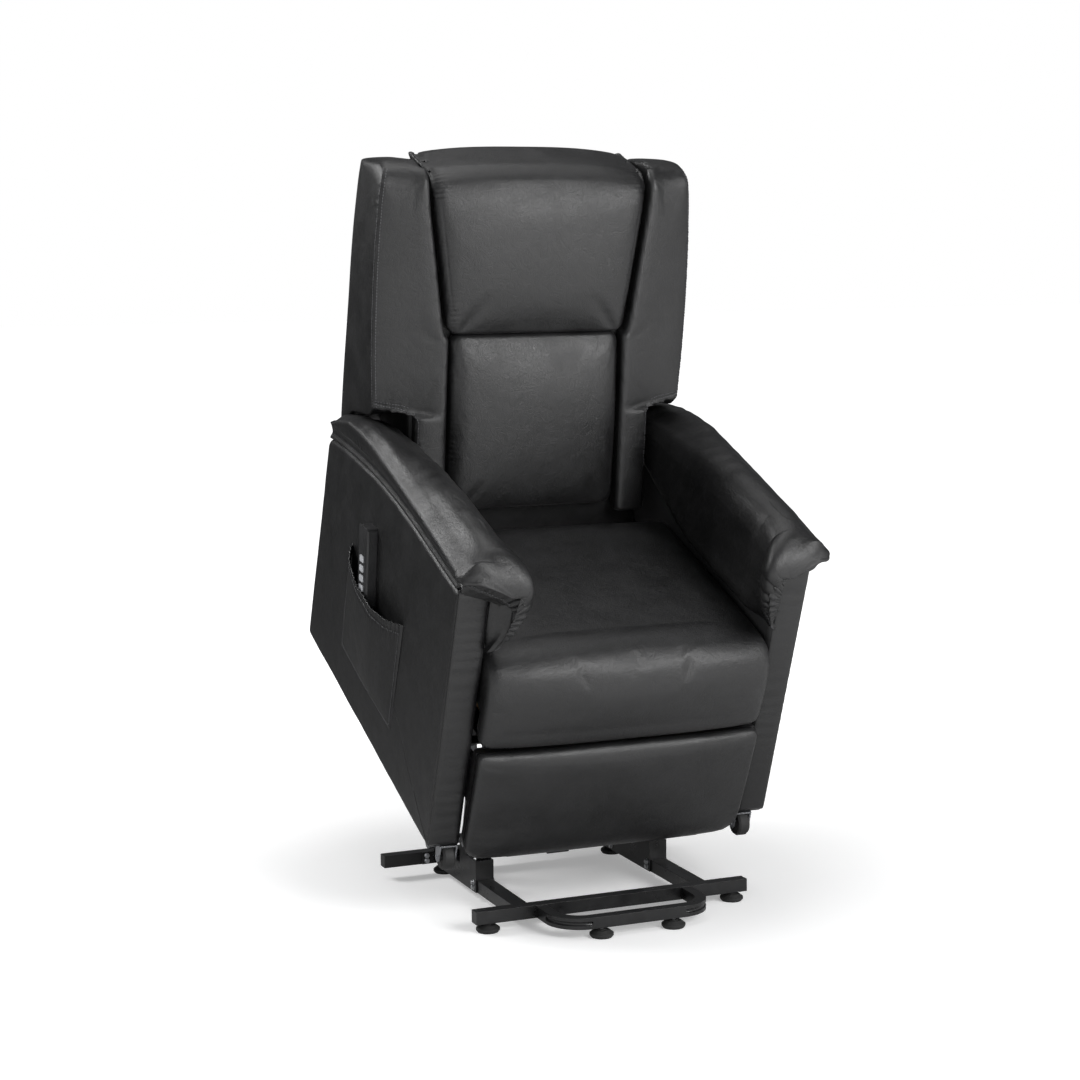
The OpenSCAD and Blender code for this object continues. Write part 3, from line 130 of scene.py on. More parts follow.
def field(points, scale, seed):
    """Smooth noise from -1 to 1 at points in mm."""
    o = Vector((seed * 13.7, seed * 5.3, seed * 9.1))
    return np.array([perlin(Vector(q) / scale + o) for q in np.asarray(points)])


# ------ curves and meshes
def spline(points, counts, closed=False):
    """Points on a smooth curve through the given ones, with a set count on each stretch."""
    p = np.asarray(points, float)
    n = len(p)
    stretches = n if closed else n - 1
    if np.isscalar(counts):
        counts = [counts] * stretches
    q = np.vstack([p[-1:], p, p[:2]]) if closed else np.vstack([2 * p[:1] - p[1:2], p, 2 * p[-1:] - p[-2:-1]])
    d = np.maximum(np.linalg.norm(np.diff(q, axis=0), axis=1), 1e-4) ** 0.5
    out = []
    for i in range(stretches):
        a, b, c, e = q[i:i + 4]
        d0, d1, d2 = d[i:i + 3]
        m1 = d1 * ((b - a) / d0 - (c - a) / (d0 + d1) + (c - b) / d1)
        m2 = d1 * ((c - b) / d1 - (e - b) / (d1 + d2) + (e - c) / d2)
        u = (np.arange(counts[i]) / counts[i])[:, None]
        out.append((2 * u**3 - 3 * u**2 + 1) * b + (u**3 - 2 * u**2 + u) * m1
                   + (3 * u**2 - 2 * u**3) * c + (u**3 - u**2) * m2)
    if not closed:
        out.append(p[-1:])
    return np.vstack(out)


def run_of(c):
    """How far along a curve each of its points is."""
    return np.concatenate([[0], np.cumsum(np.linalg.norm(np.diff(c, axis=0), axis=1))])


def even(points, n, closed=False):
    """n points evenly spaced along a curve."""
    c = np.vstack([points, points[:1]]) if closed else np.asarray(points, float)
    s = run_of(c)
    t = np.linspace(0, s[-1], n, endpoint=not closed)
    return np.stack([np.interp(t, s, c[:, k]) for k in range(c.shape[1])], 1)


def fillet(corners, radii):
    """Closed outline with each corner rounded."""
    p = np.asarray(corners, float)
    out = []
    for i, r in enumerate(radii):
        a, b, c = p[i - 1], p[i], p[(i + 1) % len(p)]
        u, v = (a - b) / np.linalg.norm(a - b), (c - b) / np.linalg.norm(c - b)
        half = math.acos(np.clip(u @ v, -1, 1)) / 2
        if r <= 0 or half > 1.55:
            out.append(b[None])
            continue
        m = (u + v) / np.linalg.norm(u + v) * r / math.sin(half) + b
        s, e = b + u * r / math.tan(half) - m, b + v * r / math.tan(half) - m
        g = math.pi - 2 * half
        t = np.linspace(0, 1, 8)[:, None]
        out.append(m + (np.sin((1 - t) * g) * s + np.sin(t * g) * e) / math.sin(g))
    return np.vstack(out)


def inset(ring, d):
    """A closed 2D ring moved inwards by d at each point."""
    t = np.roll(ring, -1, 0) - np.roll(ring, 1, 0)
    t /= np.maximum(np.linalg.norm(t, axis=1, keepdims=True), 1e-9)
    area = np.sum(ring[:, 0] * np.roll(ring[:, 1], -1) - np.roll(ring[:, 0], -1) * ring[:, 1])
    return ring + np.stack([-t[:, 1], t[:, 0]], 1) * np.reshape(d, (-1, 1)) * np.sign(area)


def placed(x, ring):
    """A ring of y and z, placed at x."""
    return np.column_stack([np.broadcast_to(x, len(ring)), ring])


def build(name, verts, faces, space="chair"):
    """Object with a clean mesh. The points are in mm in the chair frame, or in metres in the row frame."""
    me = bpy.data.meshes.new(name)
    v = world(verts) if space == "chair" else np.asarray(verts, float)
    me.from_pydata(v.tolist(), [], faces)
    me.validate()
    o = bpy.data.objects.new(name, me)
    scene.collection.objects.link(o)
    bm = bmesh.new()
    bm.from_mesh(me)
    bmesh.ops.remove_doubles(bm, verts=bm.verts, dist=1e-5)
    bmesh.ops.recalc_face_normals(bm, faces=bm.faces)
    bm.to_mesh(me)
    bm.free()
    smooth(o)
    return o


def smooth(o):
    o.data.polygons.foreach_set("use_smooth", [True] * len(o.data.polygons))
    o.data.update()


def shell(name, rings, caps=(0.85, 0.6, 0.3)):
    """Closed mesh through equal rings. The ends are filled by shrinking rings."""
    r = [np.asarray(x, float) for x in rings]
    a, b = r[0].mean(0), r[-1].mean(0)
    r = [a + (r[0] - a) * f for f in reversed(caps)] + r + [b + (r[-1] - b) * f for f in caps]
    n = len(r[0])
    m = len(r)
    faces = [(i * n + j, i * n + (j + 1) % n, (i + 1) * n + (j + 1) % n, (i + 1) * n + j)
             for i in range(m - 1) for j in range(n)]
    k = m * n
    faces += [(k, (j + 1) % n, j) for j in range(n)]
    faces += [(k + 1, (m - 1) * n + j, (m - 1) * n + (j + 1) % n) for j in range(n)]
    return build(name, np.vstack([*r, a[None], b[None]]), faces)


def coords(o):
    co = np.zeros(len(o.data.vertices) * 3, np.float32)
    o.data.vertices.foreach_get("co", co)
    return co.reshape(-1, 3).astype(float)


def set_coords(o, co):
    o.data.vertices.foreach_set("co", np.asarray(co, np.float32).ravel())
    o.data.update()


def normals(o):
    n = np.zeros(len(o.data.vertices) * 3, np.float32)
    o.data.vertex_normals.foreach_get("vector", n)
    return n.reshape(-1, 3).astype(float)


def bake(o):
    """Applies the modifiers of an object."""
    me = bpy.data.meshes.new_from_object(o.evaluated_get(bpy.context.evaluated_depsgraph_get()))
    o.modifiers.clear()
    o.data = me
    smooth(o)


def subdivide(o):
    m = o.modifiers.new("subdivision", "SUBSURF")
    m.levels = m.render_levels = 1
    bake(o)


def swell(o, share):
    """Moves each point along its normal by share(points in the chair frame), in mm."""
    co = coords(o)
    set_coords(o, co + normals(o) * np.reshape(share(chair(co)), (-1, 1)) / 1000)


def along(path, pitch):
    """Evenly spaced points on a smooth path, and how far along it they are."""
    c = spline(path, 12)
    s = run_of(c)
    t = np.arange(0, s[-1] + 1e-6, pitch)
    return np.stack([np.interp(t, s, c[:, k]) for k in range(3)], 1), t


def nearest(p, path):
    """Distance of each point to a path, and how far along the path its foot is."""
    pts, s = along(path, 2.0)
    ahead = np.gradient(pts, axis=0)
    ahead /= np.maximum(np.linalg.norm(ahead, axis=1, keepdims=True), 1e-9)
    far, at = np.full(len(p), 1e9), np.zeros(len(p))
    lo, hi = pts.min(0) - 60, pts.max(0) + 60
    ids = np.where(((p > lo) & (p < hi)).all(1))[0]
    for i in range(0, len(ids), 4000):
        k = ids[i:i + 4000]
        d = ((p[k, None] - pts[None]) ** 2).sum(-1)
        m = d.argmin(1)
        run = ((p[k] - pts[m]) * ahead[m]).sum(1)
        far[k] = np.sqrt(np.maximum(d[np.arange(len(m)), m] - np.clip(run, -1, 1) ** 2, 0))
        at[k] = s[m] + np.clip(run, -1, 1)
    return far, at


def sew(o, path, depth, width, gather, pitch=9.0, reach=8.0, seed=1.0):
    """Draws a seam in along a path, with small gathers beside it."""
    def share(p):
        d, a = nearest(p, path)
        return (gather * waves(a, pitch, seed) * np.exp(-np.abs(d - 4) / reach) * (d < 6 * reach)
                - depth * np.exp(-(d / width) ** 2))
    swell(o, share)


def thread(name, body, paths, on, pitch=6.0, r=0.85, lift=0.3):
    """Stitches: short dashes along paths, laid on the surface of a piece."""
    sides = [tuple(p.vertices) for p in on.data.polygons]
    tree = BVHTree.FromPolygons([Vector(v) for v in coords(on)], sides)
    verts, faces = [], []
    for path in paths:
        w = world(along(path, pitch)[0])
        for p, q in zip(w, np.gradient(w, axis=0)):
            at, n = tree.find_nearest(Vector(p), 0.03)[:2]
            if at is None:
                continue
            u = Vector(q)
            u = (u - u.dot(n) * n).normalized()
            v = n.cross(u)
            k = len(verts)
            for f, g in ((-1, 0.5), (-0.6, 1), (0.6, 1), (1, 0.5)):
                for a in range(6):
                    c, d = math.cos(a * math.pi / 3), math.sin(a * math.pi / 3)
                    middle = at + n * (lift / 1000) + u * (f * 0.34 * pitch / 1000)
                    verts.append(middle + (v * c + n * d * 0.7) * (g * r / 1000))
            faces += [(k + i * 6 + j, k + i * 6 + (j + 1) % 6, k + i * 6 + 6 + (j + 1) % 6, k + i * 6 + 6 + j)
                      for i in range(3) for j in range(6)]
            faces += [tuple(k + j for j in range(6)), tuple(k + 18 + j for j in range(6))]
    o = build(name, [tuple(v) for v in verts], faces, "row")
    return finish(o, body, mat=THREAD)


cloths = []
CLOTH_STEPS = 20  # the cloth is stopped here, before it has settled


def puff(o, voxel, pressure, cap, bend, pin):
    """Notes a piece for the cloth simulation: it swells by up to cap mm, and is held where a pin is 1."""
    m = o.modifiers.new("remesh", "REMESH")
    m.mode = "VOXEL"
    m.voxel_size = voxel / 1000
    bake(o)
    cloths.append((o, pressure, cap, pin, bend))


def run_cloths():
    """Swells the noted pieces together, and keeps each point's way below the piece's cap."""
    made = []
    for o, pressure, cap, pin, bend in cloths:
        start = coords(o)
        held = np.clip(np.maximum.reduce(pin(chair(start))), 0, 1)
        group = o.vertex_groups.new(name="held")
        for level in range(1, 9):
            ids = np.where(np.round(held * 8) == level)[0]
            if len(ids):
                group.add(ids.tolist(), level / 8, "REPLACE")
        c = o.modifiers.new("Cloth", "CLOTH")
        s = c.settings
        s.quality = 5
        s.mass = 0.25
        s.tension_stiffness = s.compression_stiffness = 14
        s.shear_stiffness = 5
        s.bending_stiffness = bend
        s.tension_damping = s.compression_damping = s.shear_damping = 8
        s.air_damping = 2
        s.use_pressure = True
        s.uniform_pressure_force = pressure
        s.effector_weights.gravity = 0
        s.vertex_group_mass = "held"
        c.collision_settings.use_collision = False
        c.point_cache.frame_start, c.point_cache.frame_end = 1, 30
        made.append((o, start, cap))
    for f in range(1, CLOTH_STEPS + 1):
        scene.frame_set(f)
    graph = bpy.context.evaluated_depsgraph_get()
    ends = [coords(o.evaluated_get(graph)) for o, *_ in made]
    for (o, start, cap), end in zip(made, ends):
        o.modifiers.clear()
        o.vertex_groups.clear()
        d = end - start
        l = np.linalg.norm(d, axis=1, keepdims=True) + 1e-9
        k = cap / 1000
        set_coords(o, start + d / l * (k * np.tanh(l / k)))
    scene.frame_set(1)


# ------ materials
def material(name, rough, base=(0, 0, 0), metal=0.0, ior=1.5):
    m = bpy.data.materials.new(name)
    m.use_nodes = True
    t = m.node_tree
    t.nodes.clear()
    out = t.nodes.new("ShaderNodeOutputMaterial")
    b = t.nodes.new("ShaderNodeBsdfPrincipled")
    t.links.new(b.outputs[0], out.inputs[0])
    for k, v in (("Base Color", (*base, 1)), ("Roughness", rough), ("Metallic", metal), ("IOR", ior)):
        b.inputs[k].default_value = v
    m.diffuse_color = (*base, 1)
    return m, t, b


def feed(t, socket, v):
    if isinstance(v, bpy.types.NodeSocket):
        t.links.new(v, socket)
    else:
        socket.default_value = v


def put(t, kind, props=None, **inputs):
    """A node with its properties and inputs. An input is a value or another node's output."""
    n = t.nodes.new("ShaderNode" + kind)
    for k, v in (props or {}).items():
        setattr(n, k, v)
    for k, v in inputs.items():
        feed(t, n.inputs[k.replace("_", " ")], v)
    return n


def math_node(t, op, a, b=None, clamp=False):
    n = t.nodes.new("ShaderNodeMath")
    n.operation = op
    n.use_clamp = clamp
    feed(t, n.inputs[0], a)
    if b is not None:
        feed(t, n.inputs[1], b)
    return n.outputs[0]


def noise(t, where, scale, detail, **more):
    return put(t, "TexNoise", Vector=where, Scale=scale, Detail=detail, **more).outputs[0]


def wire(t, b, colour, rough, normal):
    for k, v in (("Base Color", colour), ("Roughness", rough), ("Normal", normal)):
        t.links.new(v, b.inputs[k])


def ramp(t, value, lo, hi, to_lo=0.0, to_hi=1.0):
    n = t.nodes.new("ShaderNodeMapRange")
    t.links.new(value, n.inputs["Value"])
    for k, v in zip(("From Min", "From Max", "To Min", "To Max"), (lo, hi, to_lo, to_hi)):
        n.inputs[k].default_value = v
    return n.outputs[0]


def blend_colour(t, share, a, b):
    n = t.nodes.new("ShaderNodeMix")
    n.data_type = "RGBA"
    t.links.new(share, n.inputs[0])
    for i, v in ((6, a), (7, b)):
        feed(t, n.inputs[i], v if isinstance(v, bpy.types.NodeSocket) else (*v, 1))
    return n.outputs[2]


def bumps(t, layers, radius=None):
    """Bump nodes one on the other: (height, strength, distance in mm)."""
    normal = None
    if radius:
        normal = put(t, "Bevel", {"samples": 4}, Radius=radius / 1000).outputs[0]
    for height, strength, distance in layers:
        n = put(t, "Bump", Strength=strength, Distance=distance / 1000, Height=height)
        if normal is not None:
            t.links.new(normal, n.inputs["Normal"])
        normal = n.outputs[0]
    return normal


def times(colour, k):
    return tuple(c * k for c in colour)


def leather(name, dark, light, rough, soft=1.0):
    """Grained leather with fine creases, larger dents, and a little wear where the surface is convex."""
    m, t, b = material(name, rough, light, ior=1.48)
    where = put(t, "TexCoord").outputs["Object"]
    wobble = put(t, "TexNoise", Vector=where, Scale=160.0, Detail=2.0)
    moved = put(t, "VectorMath", {"operation": "MULTIPLY_ADD"})
    for i, v in enumerate((wobble.outputs["Color"], (0.0024, 0.0024, 0.0024), where)):
        feed(t, moved.inputs[i], v)
    cells = put(t, "TexVoronoi", {"feature": "DISTANCE_TO_EDGE"}, Vector=moved.outputs[0], Scale=520.0)
    grain = ramp(t, cells.outputs["Distance"], 0.0, 0.22)
    pores = noise(t, where, 1700.0, 2.0)
    folds = noise(t, where, 34.0, 4.0, Distortion=1.4)
    ridge = math_node(t, "ABSOLUTE", math_node(t, "SUBTRACT", folds, 0.5))
    crease = ramp(t, ridge, 0.0, 0.06)
    big = noise(t, where, 9.0, 3.0, Roughness=0.55)
    spots = noise(t, where, 14.0, 6.0, Roughness=0.65)
    worn = ramp(t, put(t, "NewGeometry").outputs["Pointiness"], 0.5, 0.56)
    tone = blend_colour(t, ramp(t, spots, 0.35, 0.68), dark, light)
    tone = blend_colour(t, math_node(t, "MULTIPLY", worn, 0.35), tone, times(light, 1.9))
    tone = blend_colour(t, ramp(t, cells.outputs["Distance"], 0.0, 0.09, 0.45, 0.0), tone, times(dark, 0.5))
    r = ramp(t, spots, 0.3, 0.7, rough - 0.07, rough + 0.08)
    r = math_node(t, "SUBTRACT", r, math_node(t, "MULTIPLY", worn, 0.08))
    layers = ((big, 0.5 * soft, 5.0), (crease, 0.16 * soft, 0.9), (grain, 0.5, 0.22), (pores, 0.25, 0.08))
    wire(t, b, tone, r, bumps(t, layers))
    return m


def powder_coat():
    m, t, b = material("black_steel", 0.3, (0.006, 0.006, 0.0065))
    where = put(t, "TexCoord").outputs["Object"]
    peel = noise(t, where, 700.0, 2.0)
    dust = noise(t, where, 22.0, 6.0, Roughness=0.7)
    tone = blend_colour(t, ramp(t, dust, 0.42, 0.7), (0.005, 0.005, 0.0055), (0.012, 0.012, 0.0125))
    wire(t, b, tone, ramp(t, dust, 0.3, 0.7, 0.24, 0.38), bumps(t, ((peel, 0.22, 0.12),), radius=1.0))
    return m


def bare_metal(name, base, rough, streak):
    m, t, b = material(name, rough, base, metal=1.0)
    where = put(t, "TexCoord").outputs["Object"]
    lie = put(t, "Mapping", Vector=where, Scale=(40.0, 900.0, 900.0) if streak else (160.0, 160.0, 160.0))
    lines = noise(t, lie.outputs[0], 1.0, 3.0)
    cloud = noise(t, where, 38.0, 4.0)
    tone = blend_colour(t, ramp(t, cloud, 0.35, 0.7), times(base, 0.72), base)
    wire(t, b, tone, ramp(t, lines, 0.3, 0.7, rough - 0.08, rough + 0.1),
         bumps(t, ((lines, 0.2, 0.06),), radius=0.7))
    return m


def moulded(name, base, rough, speck, radius):
    m, t, b = material(name, rough, base)
    where = put(t, "TexCoord").outputs["Object"]
    fine = noise(t, where, speck, 3.0)
    cloud = noise(t, where, 30.0, 5.0, Roughness=0.6)
    tone = blend_colour(t, ramp(t, cloud, 0.35, 0.72), times(base, 0.75), times(base, 1.25))
    wire(t, b, tone, ramp(t, cloud, 0.3, 0.7, rough - 0.06, rough + 0.08),
         bumps(t, ((fine, 0.4, 0.08),), radius=radius))
    return m


def plywood():
    m, t, b = material("frame_wood", 0.62, (0.52, 0.36, 0.2))
    where = put(t, "TexCoord").outputs["Object"]
    lie = put(t, "Mapping", Vector=where, Scale=(14.0, 3.0, 30.0))
    rings = put(t, "TexWave", Vector=lie.outputs[0], Scale=1.6, Distortion=7.0, Detail=3.0).outputs[1]
    fibre_at = put(t, "Mapping", Vector=where, Scale=(500.0, 20.0, 500.0))
    fibre = noise(t, fibre_at.outputs[0], 1.0, 3.0)
    tone = blend_colour(t, rings, (0.50, 0.33, 0.17), (0.66, 0.49, 0.29))
    tone = blend_colour(t, ramp(t, fibre, 0.45, 0.75, 0.0, 0.5), tone, (0.36, 0.23, 0.12))
    wire(t, b, tone, ramp(t, fibre, 0.3, 0.7, 0.52, 0.72), bumps(t, ((fibre, 0.3, 0.15),), radius=0.8))
    return m


def woven(name, base):
    """Thin lining cloth."""
    m, t, b = material(name, 0.85, base)
    where = put(t, "TexCoord").outputs["Object"]
    warp = put(t, "TexWave", {"bands_direction": "X"}, Vector=where, Scale=420.0, Distortion=0.4).outputs[1]
    weft = put(t, "TexWave", {"bands_direction": "Z"}, Vector=where, Scale=420.0, Distortion=0.4).outputs[1]
    cross = math_node(t, "MAXIMUM", warp, weft)
    cloud = noise(t, where, 20.0, 5.0)
    tone = blend_colour(t, cloud, times(base, 0.6), times(base, 1.3))
    wire(t, b, tone, ramp(t, cross, 0.0, 1.0, 0.95, 0.75), bumps(t, ((cross, 0.4, 0.2),)))
    return m


LEATHER = leather("black_leather", (0.007, 0.007, 0.0073), (0.012, 0.012, 0.0125), 0.38)
FLAT_LEATHER = leather("black_leather_flat", (0.007, 0.007, 0.0073), (0.011, 0.011, 0.0115), 0.4, soft=0.6)
STEEL = powder_coat()
GREY = bare_metal("grey_steel", (0.42, 0.43, 0.45), 0.38, True)
ZINC = bare_metal("zinc", (0.66, 0.67, 0.69), 0.32, False)
PLASTIC = moulded("black_plastic", (0.016, 0.016, 0.017), 0.46, 1500.0, 1.0)
RUBBER = moulded("black_rubber", (0.014, 0.014, 0.014), 0.68, 600.0, 0.8)
BUTTON = moulded("button_grey", (0.50, 0.51, 0.53), 0.5, 1500.0, 0.6)
WOOD = plywood()
LINING = woven("lining", (0.012, 0.012, 0.013))
THREAD = moulded("thread", (0.085, 0.085, 0.09), 0.5, 3000.0, 0)
BY_SLOT = {"black_steel": STEEL, "grey_steel": GREY, "zinc": ZINC, "black_leather": LEATHER,
           "frame_wood": WOOD, "black_plastic": PLASTIC, "black_rubber": RUBBER, "button_grey": BUTTON}
for name, o in NODES.items():
    for s in o.material_slots:
        key = s.material.name.split(".")[0] if s.material else ""
        s.material = BY_SLOT.get(key, STEEL)
for name, m in (("arm_board_left", LINING), ("arm_board_right", LINING), ("footrest_board", FLAT_LEATHER)):
    for s in NODES[name].material_slots:
        s.material = m if s.material == WOOD else s.material


def finish(o, body, *nodes, mat=None, slot="black_leather", fill=None):
    """Gives a piece its material and its body, and hides the nodes it stands for. fill, the share of padding
    in it, is not used.
    """
    o.data.materials.clear()
    o.data.materials.append(mat or LEATHER)
    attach(o, body)
    if nodes:
        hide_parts(*nodes)
    return o


# ------ arm pads
PAD_OUT, PAD_IN, PAD_H, PAD_LOW, PAD_NOSE, NOSE_IN = 386.0, 264.0, 646.0, 430.0, 44.0, 31.0
NOSE_Y = arm_front(ARM_H)
TIP_X = INNER - 12
SEAM_Y = -10.0  # the nose's stitched seam lies in this plane
SEAM_T = (NOSE_Y - SEAM_Y) / (NOSE_Y + PAD_NOSE)
SEAM_X, SEAM_H = 366.0, 32.0  # along the arm: how far out, and how far above the panel
TAIL_Y, TAIL_L = 715.0, 90.0  # the pad thins from here to its rear end
# the outer shoulder follows a slope of 43 degrees: x times the slope, plus z, is this sum at these y
SHOULDER = 0.92
SHOULDER_Y = [28, 103, 282, 500, 595, 654, 722, 760, 798]
SHOULDER_SUM = [943, 946, 948, 946, 939, 930, 898, 866, 836]
LIP_X = [258, 260.5, 270, 287, 308.7, 340.5, 369]
LIP_Z = [512, 523, 537, 549, 556, 571.6, 586.6]
# points on each stretch of a pad's section
PAD_COUNTS = [8, 8, 3, 3, 7, 9, 10, 13, 18, 18, 15, 14, 14, 14, 14, 16, 18, 16, 16, 14, 12, 6, 18, 18]
STITCH_AT = sum(PAD_COUNTS[:3])
LIP_AT = sum(PAD_COUNTS[:18])
CORNER_TO_END = 112.0  # along the seam
PLEAT_PITCH, PLEAT_DEPTH, PLEAT_REACH = 14.0, 4.6, 47.0


def share_of(a, b, v):
    return min(1.0, max(0.0, (v - a) / (b - a)))


def tail_of(y):
    return max(0.0, (y - TAIL_Y) / TAIL_L)


def lip(x, q):
    """Underside of the nose: from the strip, q = 0, to its lower edge and up to its seam, q = 1."""
    edge = 0.45
    low = 529 + (x - 294) * 0.42
    if q < edge:
        return mix(low + 9, low, float(step(0, edge, q)))
    return mix(low, np.interp(x, LIP_X, LIP_Z), ((q - edge) / (1 - edge)) ** 0.8)


def pad_ring(y):
    """Section of the right arm's pad at y: up the gusset, over the seam and the crown, down inside."""
    t = max(0.0, (NOSE_Y - y) / (NOSE_Y + PAD_NOSE))
    q, p = min(1.0, t / SEAM_T), max(0.0, (t - SEAM_T) / (1 - SEAM_T))
    near = share_of(NOSE_Y, 80, y)
    tail = tail_of(y)
    sink = 95 * (max(0.0, y - 100) / 625) ** 2
    crown = mix(ARM_H + 31, PAD_H, (1 - min(1.0, t) ** 1.6) ** 0.6) - 7 * (1 - near) ** 2 - 30 * tail * tail
    top = crown - sink
    top_mid = crown - 0.72 * sink - 9 * share_of(590, 650, y) - 13 * float(step(660, 760, y))
    out = mix(TIP_X, PAD_OUT, (1 - min(1.0, t) ** 2.5) ** 0.75) - 16 * tail
    inn = PAD_IN - NOSE_IN * math.sin(math.radians(min(90, 20 * (1 - near) + 93 * t))) + 20 * t**10 + 6 * tail
    low_in = inn - 8 * math.sin(math.pi * share_of(20, 470, y))
    w = (out - inn) / (PAD_OUT - PAD_IN)
    side = max(mix(INNER - 0.5, 260.5, q) - 20 * p, inn + 8)
    side_low = min(INNER - 0.5, side + 36 * (1 - min(1.0, t) ** 1.3))
    base = mix(mix(HALF - 2, 361, q), out - 20 * w, p) if t else HALF - 2
    if t:
        z0, under, mid = (min(lip(x, q) + 45 * p, top - 4) for x in (base, side, mix(side, base, 0.5)))
    else:
        z0 = mix(lip(base, 0), float(arm_top(y)) + 0.4, share_of(NOSE_Y, 40, y))
        under = mid = min(z0, float(arm_top(y)) + 0.4) - (2 if y < 40 else 0)
    g = 1 - q
    xs = mix(mix(SEAM_X - 8 * tail, 369, q), mix(base, out, 0.6), p)
    zs = mix(mix(float(arm_top(y)) + SEAM_H, 586.5, q), mix(z0, top, 0.15), p)
    slope = np.interp(y, SHOULDER_Y, SHOULDER_SUM)
    x6 = min(xs + 10.5 * (1 - tail * tail), out) if p == 0 else mix(min(xs + 10.5, out), out, p)
    z6 = mix(max(zs + 4, slope - SHOULDER * x6), mix(z0, top, 0.45), min(1, 2 * p))
    x7 = x6 - 13 * w
    z7 = max(z6 + 1.5 * w, min(slope - SHOULDER * x7, mix(z6, top_mid, 0.55)))
    x5, z5 = mix(xs + 1.5 * w, x6, 0.66), mix(zs + 2.5 * w, z6, 0.62)
    z8 = min(slope - SHOULDER * (x6 - 26 * w), top_mid + 3 * (1 - p) - 2 * p)
    low = mix(PAD_LOW - 2, ARM_H + 13, t**3) if t else min(
        float(arm_top(y)) - 12, PAD_LOW - 6 + 6 * near + 55 * (max(0.0, y - 350) / 260) ** 1.4)
    h = top - low
    n = float(1 - step(NOSE_Y, 85, y)) * w  # the nose's inner side runs out towards the strip
    inside = [(mix(mix(inn, low_in, a), inn + b, n), top - c * h) for a, b, c in
              ((0.3, 1, 0.25), (0.5, 1, 0.42), (0.8, 5, 0.58), (1, 13, 0.73), (1.05, 27, 0.87))]
    gusset = [(base, z0), (base - 3.5 * g, mix(z0, zs, 0.42)),
              (mix(base, xs, 0.7), zs - 3 * mix(g, 1, 0.3)), (xs, zs)]
    outside = [(xs + 1.5 * w, zs + 2.5 * w), (x5, z5), ((x5 + 2 * x6 + x7) / 4, (z5 + 2 * z6 + z7) / 4),
               (x7, z7), (x6 - 26 * w, z8)]
    over = [(mix(inn, out, 0.5), top_mid), (inn + 30 * w, top - 0.012 * h), (inn + 10 * w, top - 0.085 * h)]
    below = [(mix(mix(low_in, side_low, 0.35), inn + 44, n), low + 0.025 * h), (side_low, low),
             (mix(side_low, side, 0.7), mix(low, under, 0.33)), (side, mix(low, under, 0.6)),
             (side, under - 5), (side + 1.5, under), (mix(side, base, 0.5), mid)]
    return gusset + outside + over + inside + below


def pad_seam(side):
    """The pad's stitched seam: forward along the arm, under the nose, and down its inner side."""
    ys = np.concatenate([np.linspace(797, 60, 24), [32, 12]])
    p = [(SEAM_X - 8 * tail_of(y), y, float(arm_top(y)) + SEAM_H) for y in ys]
    p.append((368, -4, 585))
    p += [(x, SEAM_Y, z) for x, z in (
        (362, 582.7), (340.5, 571.6), (308.7, 556), (286, 548), (270, 536), (261, 522), (260, 504),
        (260, 487), (266, 465), (278, 446), (290, 431))]
    return [(x * side, y, z) for x, y, z in p]


def arm_pad(side):
    ys = np.concatenate([
        mix(NOSE_Y, -PAD_NOSE, np.sin(np.radians(np.linspace(87, 0.8, 72)))),
        np.linspace(NOSE_Y, 100, 40), np.linspace(100, 799, 170)[1:]])
    rings = np.array([spline(pad_ring(float(y)), PAD_COUNTS, closed=True) for y in ys])
    n = rings.shape[1]
    Y = ys[:, None] * np.ones((1, n))
    verts = np.concatenate([rings[..., :1], Y[..., None], rings[..., 1:]], -1)
    flow = np.cross(np.roll(verts, -1, 1) - np.roll(verts, 1, 1), np.gradient(verts, axis=0))
    flow /= np.maximum(np.linalg.norm(flow, axis=2, keepdims=True), 1e-6)
    flow *= np.sign((flow * (verts - verts.mean(1, keepdims=True))).sum(2).mean(1)).reshape(-1, 1, 1)
    d, a = nearest(verts.reshape(-1, 3), pad_seam(1))
    d, a = d.reshape(Y.shape), a.reshape(Y.shape)
    index = np.arange(n)[None] * np.ones((len(ys), 1))
    above = ((index >= STITCH_AT) & (index <= LIP_AT)) | (Y < SEAM_Y)
    corner = a - (a.max() - CORNER_TO_END)  # how far past the seam's inner corner
    pucker = waves(a + 4 * np.sin(d / 15.0), 14.0, 1.3 + side) + 0.6 * waves(a, 8.1, 4.1 - side)
    lift = 1.3 * pucker * np.exp(-np.abs(d - 8) / 8.0) * above * (corner < -30)
    lift += 0.5 * waves(a, 19.0, 2.2 + side) * np.exp(-np.abs(d - 11) / 9.0) * ~above * (d < 24)
    lift += 2.4 * (1 - np.exp(-d / 7.0)) * np.exp(-d / 38.0) * above
    lift -= 2.3 * np.exp(-(d / 2.3) ** 2)
    folds = 0.8 * waves(Y + 0.25 * d, 128.0, 0.7 + side) + 0.5 * waves(Y - 0.5 * d, 61.0, 2.9)
    lift += folds * step(20, 70, d) * above
    # pleats fan out from the seam's inner corner
    fan = np.abs(np.sin(corner * math.pi / PLEAT_PITCH + 0.5 * np.sin(corner / 17.0 + side))) ** 0.5
    fan = (fan - 1) * PLEAT_DEPTH * step(-40, -12, corner) * (1 - step(50, 84, corner))
    lift += fan * np.exp(-(d / PLEAT_REACH) ** 4) * (d > 1) * above
    verts = verts + flow * lift[..., None]
    verts[..., 0] *= side
    name = f"arm_pad_{SIDES[side]}"
    return finish(shell(name + "_soft", verts), "chair", name, fill=0.8)


